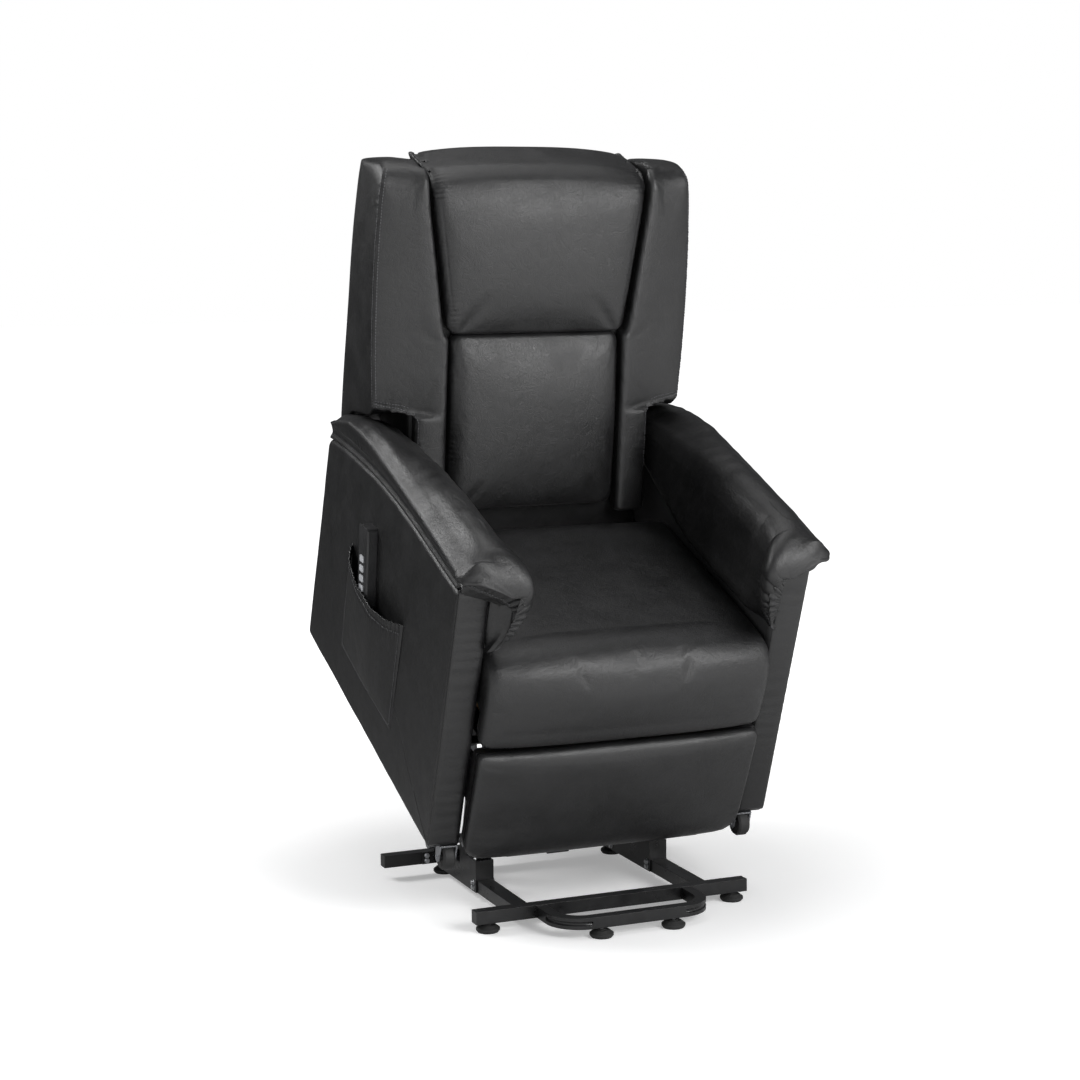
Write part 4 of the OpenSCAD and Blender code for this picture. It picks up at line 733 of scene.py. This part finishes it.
PADS = {s: arm_pad(s) for s in (-1, 1)}
for s, o in PADS.items():
    beside = []
    for i, (x, y, z) in enumerate(pad_seam(s)):
        inward = 0 if i < 27 else 2 if i < 31 else 3  # from the nose's corner on
        beside.append((x - inward * s, y - (4 if i > 25 else 0), z + (4 if i < 31 else 0)))
    thread(f"arm_pad_{SIDES[s]}_thread", "chair", [beside], o)


# ------ arm panels
def arm_outline():
    y = np.linspace(ARM_L, ARM_FALL_Y, 14)
    p = [(0, 0), (ARM_L, 0)] + [(a, float(arm_top(a))) for a in y] + [(STRIP_LEAN, ARM_H)]
    return even(fillet(p, [8, 14, 26] + [0] * 13 + [14]), 360, closed=True)


def arm_panel(side):
    base = arm_outline()
    rings = []
    for x in (INNER + 0.3, INNER + 20, INNER + 40):
        rings.append(placed(x, base))
    r = 11.0
    for a in np.radians(np.linspace(0, 90, 8)):
        q = inset(base, r * (1 - math.cos(a)))
        rings.append(placed(HALF - r + r * math.sin(a), q))
    flat = rings[-1][:, 1:]
    middle = np.array([410.0, 268.0])
    for f in np.concatenate([np.linspace(0.985, 0.9, 6), np.linspace(0.86, 0.08, 24)]):
        q = middle + (flat - middle) * f
        rings.append(placed(HALF + 3.2 * (1 - f**6), q))
    rings = np.array(rings)
    rings[..., 0] *= side
    o = shell(f"arm_panel_{SIDES[side]}", rings, caps=(0.7, 0.4))
    swell(o, lambda p: (0.9 * field(p, 90.0, 3 + side) + 0.5 * field(p, 34.0, 7))
          * step(HALF - 4, HALF, np.abs(p[:, 0])))
    return finish(o, "chair", f"arm_cover_{SIDES[side]}", fill=0.3, mat=FLAT_LEATHER)


for s in (-1, 1):
    arm_panel(s)


def front_strip(side):
    """Narrow padded panel on the front of the arm, between two seams."""
    rings = []
    low, high, middle, half = 5, 552, 328.5, 29.5
    t = np.linspace(0, 2 * math.pi, 40, endpoint=False)
    front = np.sin(t) > 0
    for z in np.linspace(low, high, 90):
        e = min(1.0, (z - low + 1) / 9, (high + 1 - z) / 9)
        y0 = arm_front(z)
        w = half * (0.97 + 0.03 * e)
        x = middle + w * np.sign(np.cos(t)) * np.abs(np.cos(t)) ** 0.55
        y = y0 + 2 - 6.0 * e * np.abs(np.sin(t)) ** 0.7 * front + 3 * (np.sin(t) < 0)
        y += 0.5 * waves(z, 23.0, 1.0 + side) * front
        rings.append(np.column_stack([x * side, y, np.full(len(t), z)]))
    o = shell(f"arm_front_{SIDES[side]}", rings, caps=(0.6,))
    return finish(o, "chair", mat=FLAT_LEATHER, fill=0.3)


for s in (-1, 1):
    front_strip(s)


# ------ seat and footrest
def across(outline, half, round_r, n=46, ring_n=190, width=None, keep=None):
    """Rings along x of a cushion with outline(c, u), its sides rounded in.

    u runs from -1 to 1 across the cushion, and c from 1 in the middle to 0 at its sides.
    """
    th = np.linspace(-1, 1, n) * math.pi / 2
    rings = []
    for a in th:
        u = math.sin(a)
        x = half * u
        ring = even(spline(outline(1 - abs(u) ** 4, u), 8, closed=True), ring_n, closed=True)
        e = max(0.0, (abs(x) - (half - round_r)) / round_r)
        ring = inset(ring, round_r * (1 - math.sqrt(max(0.0, 1 - e * e))) * 0.98)
        if keep is not None:
            ring = keep(u, ring)
        rings.append(placed(x if width is None else x * width(ring[:, 1]), ring))
    return rings


def seat_outline(c, u):
    front = -30 - 14 * c
    top = 408 + 16 * c
    rear = 500
    return [(rear - 6, 302), (rear, 325), (rear, 380), (rear - 8, 404), (rear - 40, top - 4),
            (rear - 130, top - 2), (rear - 260, top), (rear - 380, top), (60, top - 1), (14, top - 4),
            (-10, top - 14), (front + 7, top - 34), (front, top - 62), (front - 1, top - 92), (front, 270),
            (front + 3, 247), (front + 10, 233), (2, 231), (12, 242), (14, 302)]


seat = shell("seat_soft", across(seat_outline, SEAT_HALF - 3, 20))
puff(seat, voxel=6.0, pressure=4.0, cap=24, bend=3.0, pin=lambda p: [
    1 - step(262, 275, p[:, 2]) * (p[:, 1] < 60), (p[:, 2] < 318) * (p[:, 1] > 5.0), step(488, 497, p[:, 1]),
    step(286, 291, np.abs(p[:, 0]))])


def rest_outline(c, u):
    corner = 45  # radius of its lower corners
    e = REST_HALF * (1 - abs(u))
    cut = corner - math.sqrt(max(0.0, corner**2 - (corner - e) ** 2)) if e < corner else 0.0
    low = -27 + cut * 0.8
    f = -22 - 9 * c
    return [(-7, low + 5), (-7, 150), (-7, 214), (-12, 218), (f + 8, 219), (f - 4, 213), (f - 9, 197),
            (f - 8, 160), (f - 6, 100), (f - 3, 52), (f - 1, low + 30), (f + 3, low + 10), (f + 9, low + 1),
            (-12, low)]


rest = shell("footrest_soft", across(rest_outline, REST_HALF - 1, 8, n=60, ring_n=130))
puff(rest, voxel=6.0, pressure=3.0, cap=9, bend=3.0, pin=lambda p: [
    step(-20, -14, p[:, 1]), step(284, 288, np.abs(p[:, 0]))])


# ------ back
CORE_TOP = BACK_TOP - 21
DEEP = 61.0  # from the back's front plane to its core
BODY_HALF = 257.5


def lumbar_outline(c, u):
    z0, z1, edge = 426, BACK_SEAM - 2, 32
    pts = []
    for t in np.linspace(0, 1, 13):
        z = mix(z0, z1, t)
        b = math.sin(math.pi * t) ** 0.45
        pts.append((back_front(z) + DEEP - edge - (DEEP - edge) * 0.5 * b - 10 * b * c, z))
    return pts + [(back_front(z1) + DEEP - 1, z1 - 2), (back_front(z0) + DEEP - 1, z0 + 6)]


lumbar = shell("lumbar_soft", across(lumbar_outline, 184, 26, n=40, ring_n=150))
puff(lumbar, voxel=5.5, pressure=4.0, cap=24, bend=3.0, pin=lambda p: [
    step(-10, 0, p[:, 1] - back_front(p[:, 2]) - 48),
    1 - step(428, 434, p[:, 2]),
    step(764, 768, p[:, 2])])


def side_drop(u):
    """How far the upper cushion's top falls towards its sides."""
    return 17 * abs(u) ** 3


def upper_outline(c, u):
    z0, z1 = BACK_SEAM + 1, 1012
    drop = side_drop(u)
    pts = []
    for t in np.linspace(0, 1, 11):
        z = mix(z0, z1, t)
        b = math.sin(math.radians(min(90, 150 * t))) ** 0.45
        pts.append((back_front(z) + 31 - 31 * 0.5 * b - 9 * b * c + 2 * t**6, z))
    r = back_rear(CORE_TOP)
    o = back_front(1050) + 31 - 15.5 - 9 * c
    roll = [(o + 3, 1040), (o + 17, 1064 - 0.3 * drop), (o + 36, 1080 - 0.7 * drop), (o + 60, 1090 - drop),
            (o + 88, 1093 - drop), (r - 50, 1092 - drop), (r - 18, 1087 - drop), (r - 5, 1078 - drop),
            (r - 3, 1070 - 0.4 * drop), (r - 9, CORE_TOP + 2), (r - 22, CORE_TOP + 1)]
    rear = [(back_front(CORE_TOP) + 88, CORE_TOP + 1), (back_front(CORE_TOP - 34) + DEEP, CORE_TOP - 34),
            (back_front(z0 + 8) + DEEP, z0 + 8)]
    return pts + roll + rear


def upper_keep(u, ring):
    """Keeps the rounded ends within the cushion's thin rear edge."""
    high = np.clip(ring[:, 1], CORE_TOP + 1, 1090 - side_drop(u))
    z = np.where(ring[:, 0] > back_front(1050) + 62, high, ring[:, 1])
    return np.column_stack([np.minimum(ring[:, 0], back_rear(CORE_TOP) - 4), z])


upper = shell("upper_soft", across(
    upper_outline, 235, 26, n=44, ring_n=200, width=lambda z: cushion_half(z) / 235, keep=upper_keep))
puff(upper, voxel=5.5, pressure=3.0, cap=24, bend=8.0, pin=lambda p: [
    step(-14, 0, p[:, 1] - back_front(np.minimum(p[:, 2], 1030)) - 52) * (1 - step(1030, 1062, p[:, 2])),
    1 - step(773, 778, p[:, 2]),
    (1 - step(CORE_TOP + 4, CORE_TOP + 16, p[:, 2])) * step(770, 785, p[:, 1]),
    0.55 * step(1060, 1080, p[:, 2]),
    step(-24, -12, np.abs(p[:, 0]) - cushion_half(p[:, 2])) * step(1010, 1040, p[:, 2])])


WING_LOW, WING_TOP, WING_ROUND = 408.0, 1050.0, 34.0
WING_SHELF = 622.0  # below this only the inner strip goes on
STRIP_X = 255.5  # outer side of that strip


def rounded(z, start, height):
    """0 up to the start, and 1 at the end of a quarter circle above it."""
    return 1 - math.sqrt(max(0.0, 1 - min(1.0, max(0.0, (z - start) / height)) ** 2))


def wing_edge(z):
    """Outer front seam of a wing: x and y. Its top corner is rounded."""
    e = rounded(z, WING_TOP + 2, WING_ROUND - 3)
    belly = math.sin(math.pi * np.clip((z - 560) / 520, 0, 1)) ** 0.5
    return 343 - 16 * (1 - belly) - 9 * e, 628 + (z - 641) * LEAN * 0.898 + 30 * e


WING_COUNTS = [7, 4, 8, 8, 8, 4, 3, 7, 7, 4, 4, 7, 8, 7, 7, 5, 7]


def wing(side):
    """Side wing. Its front runs from the outer seam to the cushion's groove, and down to the seat inside."""
    zs = np.concatenate([
        np.linspace(WING_LOW, WING_SHELF - 10, 40),
        np.linspace(WING_SHELF - 9, WING_SHELF + 2, 9),
        np.linspace(WING_SHELF + 8, WING_TOP, 60),
        WING_TOP + WING_ROUND * np.sin(np.radians(np.linspace(6, 88, 16)))])
    rings = []
    for z in zs:
        e = rounded(z, WING_TOP, WING_ROUND)
        low = 1 - min(1.0, (z - WING_LOW + 8) / 16)
        rear = back_rear(z) - 3 - 3.2 * max(0.0, z - 1056)
        xo, fo = wing_edge(z)
        xi = float(cushion_half(z)) + 4 + 3 * step(770, 800, z) * (1 - step(1000, 1080, z))
        fi = back_front(z) + 21 + 30 * e + 10 * low * low
        deep = back_front(z) + 57
        xe = STRIP_X
        groove = [(xi, fi + 18), (xi + 1.5, fi + 6), (xi + 8, fi)]
        wide = groove + [
            (mix(xi, xo, 0.33), mix(fi, fo, 0.29) + 2), (mix(xi, xo, 0.7), mix(fi, fo, 0.68) + 2),
            (xo - 9, fo - 1), (xo - 2.5, fo + 1), (xo, fo + 9), (xo + 2, mix(fo, rear, 0.5)), (xo, rear - 14),
            (xo - 5, rear - 3), (xo - 16, rear), (mix(250, xo, 0.4), rear + 1), (250, rear), (248, deep + 18),
            (xi + 12, deep + 2), (xi, deep - 4)]
        slim = groove + [
            (mix(xi, xe, 0.4), fi - 1), (mix(xi, xe, 0.7), fi + 1), (xe - 6, fi + 4), (xe - 2, fi + 7),
            (xe, fi + 12), (xe, mix(fi, deep, 0.5)), (xe, deep - 7), (xe - 2, deep - 2), (xe - 6, deep),
            (mix(xi, xe, 0.8), deep), (mix(xi, xe, 0.65), deep), (mix(xi, xe, 0.5), deep), (xi + 12, deep),
            (xi, deep - 4)]
        k = float(step(WING_SHELF - 10, WING_SHELF, z))
        ring = spline(mix(np.array(slim), np.array(wide), k), WING_COUNTS, closed=True)
        # the lower edge hangs down towards the rear
        dy = np.clip(ring[:, 1] - fo, 0, 200)
        inside, outside = 22 * step(0, 30, dy) + 0.32 * dy, 16 * step(2, 30, dy) + 0.4 * dy
        fall = mix(inside, outside, step(290, 330, ring[:, 0])) + 40 * step(120, 165, dy)
        fall = fall * (1 - step(WING_SHELF, 800, z)) * k
        rings.append(np.column_stack([ring[:, 0] * side, ring[:, 1], z - fall]))
    o = shell(f"wing_{SIDES[side]}_soft", rings)
    puff(o, voxel=5.0, pressure=2.0, cap=8, bend=0.5, pin=lambda p: [
        step(332, 338, np.abs(p[:, 0])),
        1 - step(12, 22, np.abs(p[:, 0]) - cushion_half(p[:, 2])),
        (p[:, 2] < WING_SHELF + 6) * (np.abs(p[:, 0]) > 248),
        (p[:, 1] > back_front(p[:, 2]) + 52) * (np.abs(p[:, 0]) < 262)])
    return o


WINGS = {s: wing(s) for s in (-1, 1)}


def wing_seams(side, o):
    """Seams and stitches of a wing: outer front edge, hem, and the inner strip."""
    heights = np.concatenate([np.linspace(1078, 1052, 6), np.linspace(1020, 626, 16)]).tolist()
    edge = [(wing_edge(z)[0] - 2, wing_edge(z)[1] + 1, z) for z in heights]
    hem = [(x, mix(back_front(z) + 21, wing_edge(z)[1], 0.29 + 0.7 * (x - 270) / 60), z) for x, z in
           ((333, 634), (318, 632), (300, 631), (284, 630), (270, 627))]
    slit = [(262, back_front(z) + 24, z) for z in (626, 618)]
    slit += [(254, back_front(z) + 25, z) for z in (606, 580, 540, 500)]
    path = [[(x * side, y, z) for x, y, z in c] for c in (edge, hem, slit)]
    sew(o, path[0], depth=1.6, width=2.2, gather=0.35, pitch=17.0, seed=1.0 + side)
    sew(o, path[1], depth=1.8, width=2.4, gather=0.9, pitch=13.0, reach=9.0, seed=2.0)
    sew(o, path[2], depth=1.4, width=2.4, gather=0.5, pitch=19.0, reach=9.0, seed=3.0)
    sew(o, [(263 * side, back_front(z) + 22, z) for z in (640, 630, 620)], depth=3.0, width=6.0, gather=0.0)
    lines = [[(x + d * side, y + e, z) for x, y, z in path[0]] for d, e in ((-5, 0), (0, 6))]
    lines += [[(x, y, z + d) for x, y, z in path[1]] for d in (-2.5, 4)]
    lines += [[(x - 3 * side, y, z) for x, y, z in path[2]]]
    thread(f"wing_{SIDES[side]}_thread", "backrest", lines, o)


def back_shell():
    """Outside of the back: a padded body with a slightly crowned rear panel."""
    rings = []
    for x in np.linspace(-1, 1, 41):
        u = math.sin(x * math.pi / 2)
        edge = max(0.0, (abs(u) - 0.9) / 0.1)
        e = 10 * (1 - math.sqrt(max(0.0, 1 - edge * edge)))
        c = 5 * (1 - u**4)
        front = [(back_front(1062) + 90, 1062), (back_front(1028) + 63, 1028), (back_front(420) + 63, 420)]
        rear = [(back_rear(z) + c, z) for z in (500, 800, 1030)] + [(back_rear(1060) - 6, 1062)]
        p = [(back_front(332) + 74, 330), (back_rear(330) - 8, 330)] + rear + front
        ring = even(fillet(p, [8, 16, 0, 0, 0, 24, 16, 10, 4]), 200, closed=True)
        ring = inset(ring, e)
        rings.append(placed(BODY_HALF * u, ring))
    o = shell("back_body", rings)
    swell(o, lambda p: 1.4 * field(p, 110.0, 5))
    return finish(o, "backrest", "back_core", fill=0.4, mat=FLAT_LEATHER)


back_shell()


def rear_valance():
    rings = []
    y, half, low, mid, high = ARM_L - 14, 295.5, 62, 146, 228
    p = [(y - 7, low), (y + 7, low), (y + 9, mid), (y + 7, high), (y - 7, high), (y - 8, mid)]
    for x in np.linspace(-half, half, 60):
        ring = even(fillet(p, [4, 4, 0, 4, 4, 0]), 70, closed=True)
        ring[:, 0] += 1.2 * waves(x + 0.3 * ring[:, 1], 95.0, 1.9)
        rings.append(placed(x, ring))
    return finish(shell("rear_valance", rings), "chair", "rear_rail", fill=0.2, mat=FLAT_LEATHER)


rear_valance()


# ------ pocket
def pocket():
    y0, y1, z0, z1, sag, deep = 252.0, 580.0, 104.0, 345.0, 26.0, 35.0
    off = 3.5  # its hem's ends lie this far off the cover
    nu, nv, hem_row = 150, 80, 72
    u = np.linspace(-1, 1, nu)[:, None] * np.ones((1, nv))
    v = np.ones((nu, 1)) * np.linspace(0, 1, nv)[None]
    d = off + (deep - off) * v**0.6 * np.maximum(0, 1 - u * u) ** 0.7
    frill = np.exp(-(1 - v) / 0.05)
    hem_groove = 4.0 * np.exp(-((v - 0.93) / 0.025) ** 2) * (1 - u * u)
    d = d + 2.2 * waves(u * 164, 11.0, 0.4) * np.exp(-(1 - v) / 0.07) - hem_groove
    d = d + 1.1 * waves(u * 164 + 22 * v, 74.0, 1.4) * (1 - np.abs(u) ** 6) * v
    d = d + 1.8 * np.sin(3.3 * v + 4 * u + 1.3) * (1 - u**4) * (0.2 + v)
    z = mix(z0, z1 - sag * (1 - u * u), v) + 1.2 * waves(u * 164, 13.0, 2.0) * frill
    y = mix(y0, y1, (u + 1) / 2)
    x = -(HALF + off + 0.1 + np.maximum(d - off, 0.0))
    outer = np.stack([x, y, z], -1)
    inner = outer.copy()
    inner[..., 0] = np.minimum(-(HALF + off), x + 2.4)
    rings = np.concatenate([outer[:, ::-1], inner], 1)
    o = finish(shell("pocket_soft", rings, caps=(0.5,)), "chair", "handset_pocket", fill=0.1)
    border = [(-HALF - 8, a, b) for a, b in (
        (y1 - 7, 320), (y1 - 7, 150), (y1 - 9, z0 + 9), (y1 - 12, z0 + 7), (420, z0 + 7),
        (y0 + 12, z0 + 7), (y0 + 9, z0 + 9), (y0 + 7, 150), (y0 + 7, 325))]
    hem = [tuple(outer[i, hem_row]) for i in range(4, nu - 3, 12)]
    thread("pocket_thread", "chair", [border, hem], o)


pocket()

# ------ simulation, then seams
run_cloths()
for o, *_ in cloths:
    subdivide(o)
for s in (-1, 1):
    for z, o in ((764, lumbar), (776, upper)):
        middle = [(x * s, back_front(z) + 12 - 10 * math.cos(x / 120), z) for x in (0, 60, 120, 165)]
        sew(o, middle, depth=0.0, width=1.0, gather=0.8, reach=7.0, seed=z)
    edge = [(s * (float(cushion_half(z)) - 13), back_front(z) + 18, z) for z in np.linspace(790, 1040, 9)]
    sew(upper, edge, depth=1.2, width=1.8, gather=0.5, reach=7.0, seed=1.0 + s)
    corner = [(s * 224, back_front(1040) + 18, 1040), (s * 222, back_front(1050) + 34, 1064),
              (s * 221, back_front(1050) + 60, 1078)]
    sew(upper, corner, depth=2.0, width=2.6, gather=1.3, pitch=8.0, reach=12.0, seed=2.0 + s)
    edge = [(s * 174, back_front(z) + 30, z) for z in np.linspace(440, 750, 9)]
    sew(lumbar, edge, depth=1.0, width=2.0, gather=0.4, pitch=11.0, reach=7.0, seed=3.0 + s)
    edge = [(s * 284, y, z) for y, z in (
        (-38, 245), (-46, 300), (-46, 350), (-36, 385), (-12, 405), (30, 414), (120, 418), (260, 418))]
    sew(seat, edge, depth=1.6, width=2.2, gather=0.6, seed=1.5 + s)
finish(seat, "chair", "seat_cushion", fill=0.8)
finish(rest, "footrest", "footrest_pad", fill=0.6)
finish(lumbar, "backrest", "lumbar_cushion", fill=0.8)
finish(upper, "backrest", "upper_cushion", fill=0.8)
for s, o in WINGS.items():
    wing_seams(s, o)
    finish(o, "backrest", f"wing_{SIDES[s]}", fill=0.5)


# ------ floor, light and camera
def stage():
    """White floor that keeps the shadow, and a studio that is white in front and darker behind."""
    me = bpy.data.meshes.new("floor")
    me.from_pydata([(-30, -30, 0), (30, -30, 0), (30, 30, 0), (-30, 30, 0)], [], [(0, 1, 2, 3)])
    floor = bpy.data.objects.new("floor", me)
    scene.collection.objects.link(floor)
    m, t, b = material("floor", 0.9, (0.88, 0.88, 0.88))
    where = put(t, "TexCoord").outputs["Object"]
    cloud = noise(t, where, 3.0, 3.0)
    tone = blend_colour(t, cloud, (0.87, 0.87, 0.87), (0.89, 0.89, 0.89))
    b.inputs["Specular IOR Level"].default_value = 0.1
    b.inputs["Emission Color"].default_value = (1, 1, 1, 1)
    far = put(t, "VectorMath", {"operation": "LENGTH"})
    t.links.new(where, far.inputs[0])
    path = t.nodes.new("ShaderNodeLightPath").outputs
    ahead = ramp(t, put(t, "SeparateXYZ", Vector=where).outputs[1], 0.8, -1.6)
    seen = math_node(t, "MAXIMUM", path["Is Camera Ray"], path["Is Transmission Ray"])
    seen = math_node(t, "MAXIMUM", seen, math_node(t, "MULTIPLY", path["Is Glossy Ray"], ahead))
    # painted shade: glossy rays that look at the floor behind the chair see a dark grey copy of it (0.1),
    # standing in for shade in the reflections
    painted_shade_behind = math_node(t, "SUBTRACT", 0.85, ahead)
    painted_shade_behind = math_node(t, "MULTIPLY", path["Is Glossy Ray"], painted_shade_behind, clamp=True)
    t.links.new(blend_colour(t, painted_shade_behind, tone, (0.1, 0.1, 0.1)), b.inputs["Base Color"])
    glow = math_node(t, "MULTIPLY", ramp(t, far.outputs["Value"], 0.5, 2.1, 0.3, 1.0), seen)
    t.links.new(glow, b.inputs["Emission Strength"])
    me.materials.append(m)

    w = bpy.data.worlds.new("studio")
    scene.world = w
    w.use_nodes = True
    t = w.node_tree
    t.nodes.clear()
    out = t.nodes.new("ShaderNodeOutputWorld")
    path = t.nodes.new("ShaderNodeLightPath")
    # the studio is bright in front and low down, and darker behind and overhead
    toward = put(t, "SeparateXYZ", Vector=put(t, "TexCoord").outputs["Generated"])
    front = ramp(t, math_node(t, "MULTIPLY", toward.outputs[1], -1.0), -0.25, 0.7)
    below = ramp(t, toward.outputs[2], 0.75, 0.1)
    bright = math_node(t, "MULTIPLY", front, below)
    share = math_node(t, "MULTIPLY_ADD", bright, 0.88)
    share.node.inputs[2].default_value = 0.12
    soft = put(t, "Background", Color=(0.97, 0.98, 1.0, 1), Strength=share)
    white = put(t, "Background", Color=(1, 1, 1, 1), Strength=1.0)
    clear = math_node(t, "MAXIMUM", path.outputs["Is Camera Ray"], path.outputs["Is Transmission Ray"])
    clear = math_node(t, "MAXIMUM", clear, math_node(t, "MULTIPLY", path.outputs["Is Glossy Ray"], bright))
    pick = t.nodes.new("ShaderNodeMixShader")
    for i, n in enumerate((clear, soft.outputs[0], white.outputs[0])):
        t.links.new(n, pick.inputs[i])
    t.links.new(pick.outputs[0], out.inputs[0])


def lamp(name, place, target, size, power):
    l = bpy.data.lights.new(name, "AREA")
    l.shape = "RECTANGLE"
    l.size, l.size_y = size
    l.energy = power
    o = bpy.data.objects.new(name, l)
    o.location = place
    o.rotation_euler = (Vector(target) - Vector(place)).to_track_quat("-Z", "Y").to_euler()
    scene.collection.objects.link(o)


def camera():
    """The photograph's camera, placed by its azimuth, elevation and roll about the base's front."""
    a, e, r = (math.radians(v) for v in (-22.6, 7.5, -0.4))
    focus, width = 2328.1, 1080  # in pixels of the photograph
    aside, above, away = -140.0, 730.3, 4504.7
    back = Vector((math.sin(a) * math.cos(e), -math.cos(a) * math.cos(e), math.sin(e)))
    right = Vector((math.cos(a), math.sin(a), 0))
    up = back.cross(right)
    place = (right * aside + up * above + back * away - Vector((0, MID, 0))) / 1000
    c, s = math.cos(r), math.sin(r)
    right, up = right * c + up * s, up * c - right * s
    m = Matrix.Identity(4)
    for i, axis in enumerate((right, up, back, place)):
        m.col[i][:3] = axis
    cam = bpy.data.cameras.new("camera")
    cam.sensor_fit = "HORIZONTAL"
    cam.sensor_width = 36
    cam.lens = focus / width * cam.sensor_width
    cam.clip_end = 100
    o = bpy.data.objects.new("camera", cam)
    o.matrix_world = m
    scene.collection.objects.link(o)
    scene.camera = o


stage()
lamp("key", (1.3, -3.2, 2.1), (0, 0.0, 0.8), (1.8, 1.4), 90)
lamp("top", (-0.1, 0.05, 3.6), (0, 0.1, 0.5), (2.6, 2.6), 42)
lamp("rim", (-2.6, 1.7, 2.9), (-0.2, 0.0, 0.8), (1.2, 1.2), 78)
camera()
scene.view_settings.view_transform = "Standard"
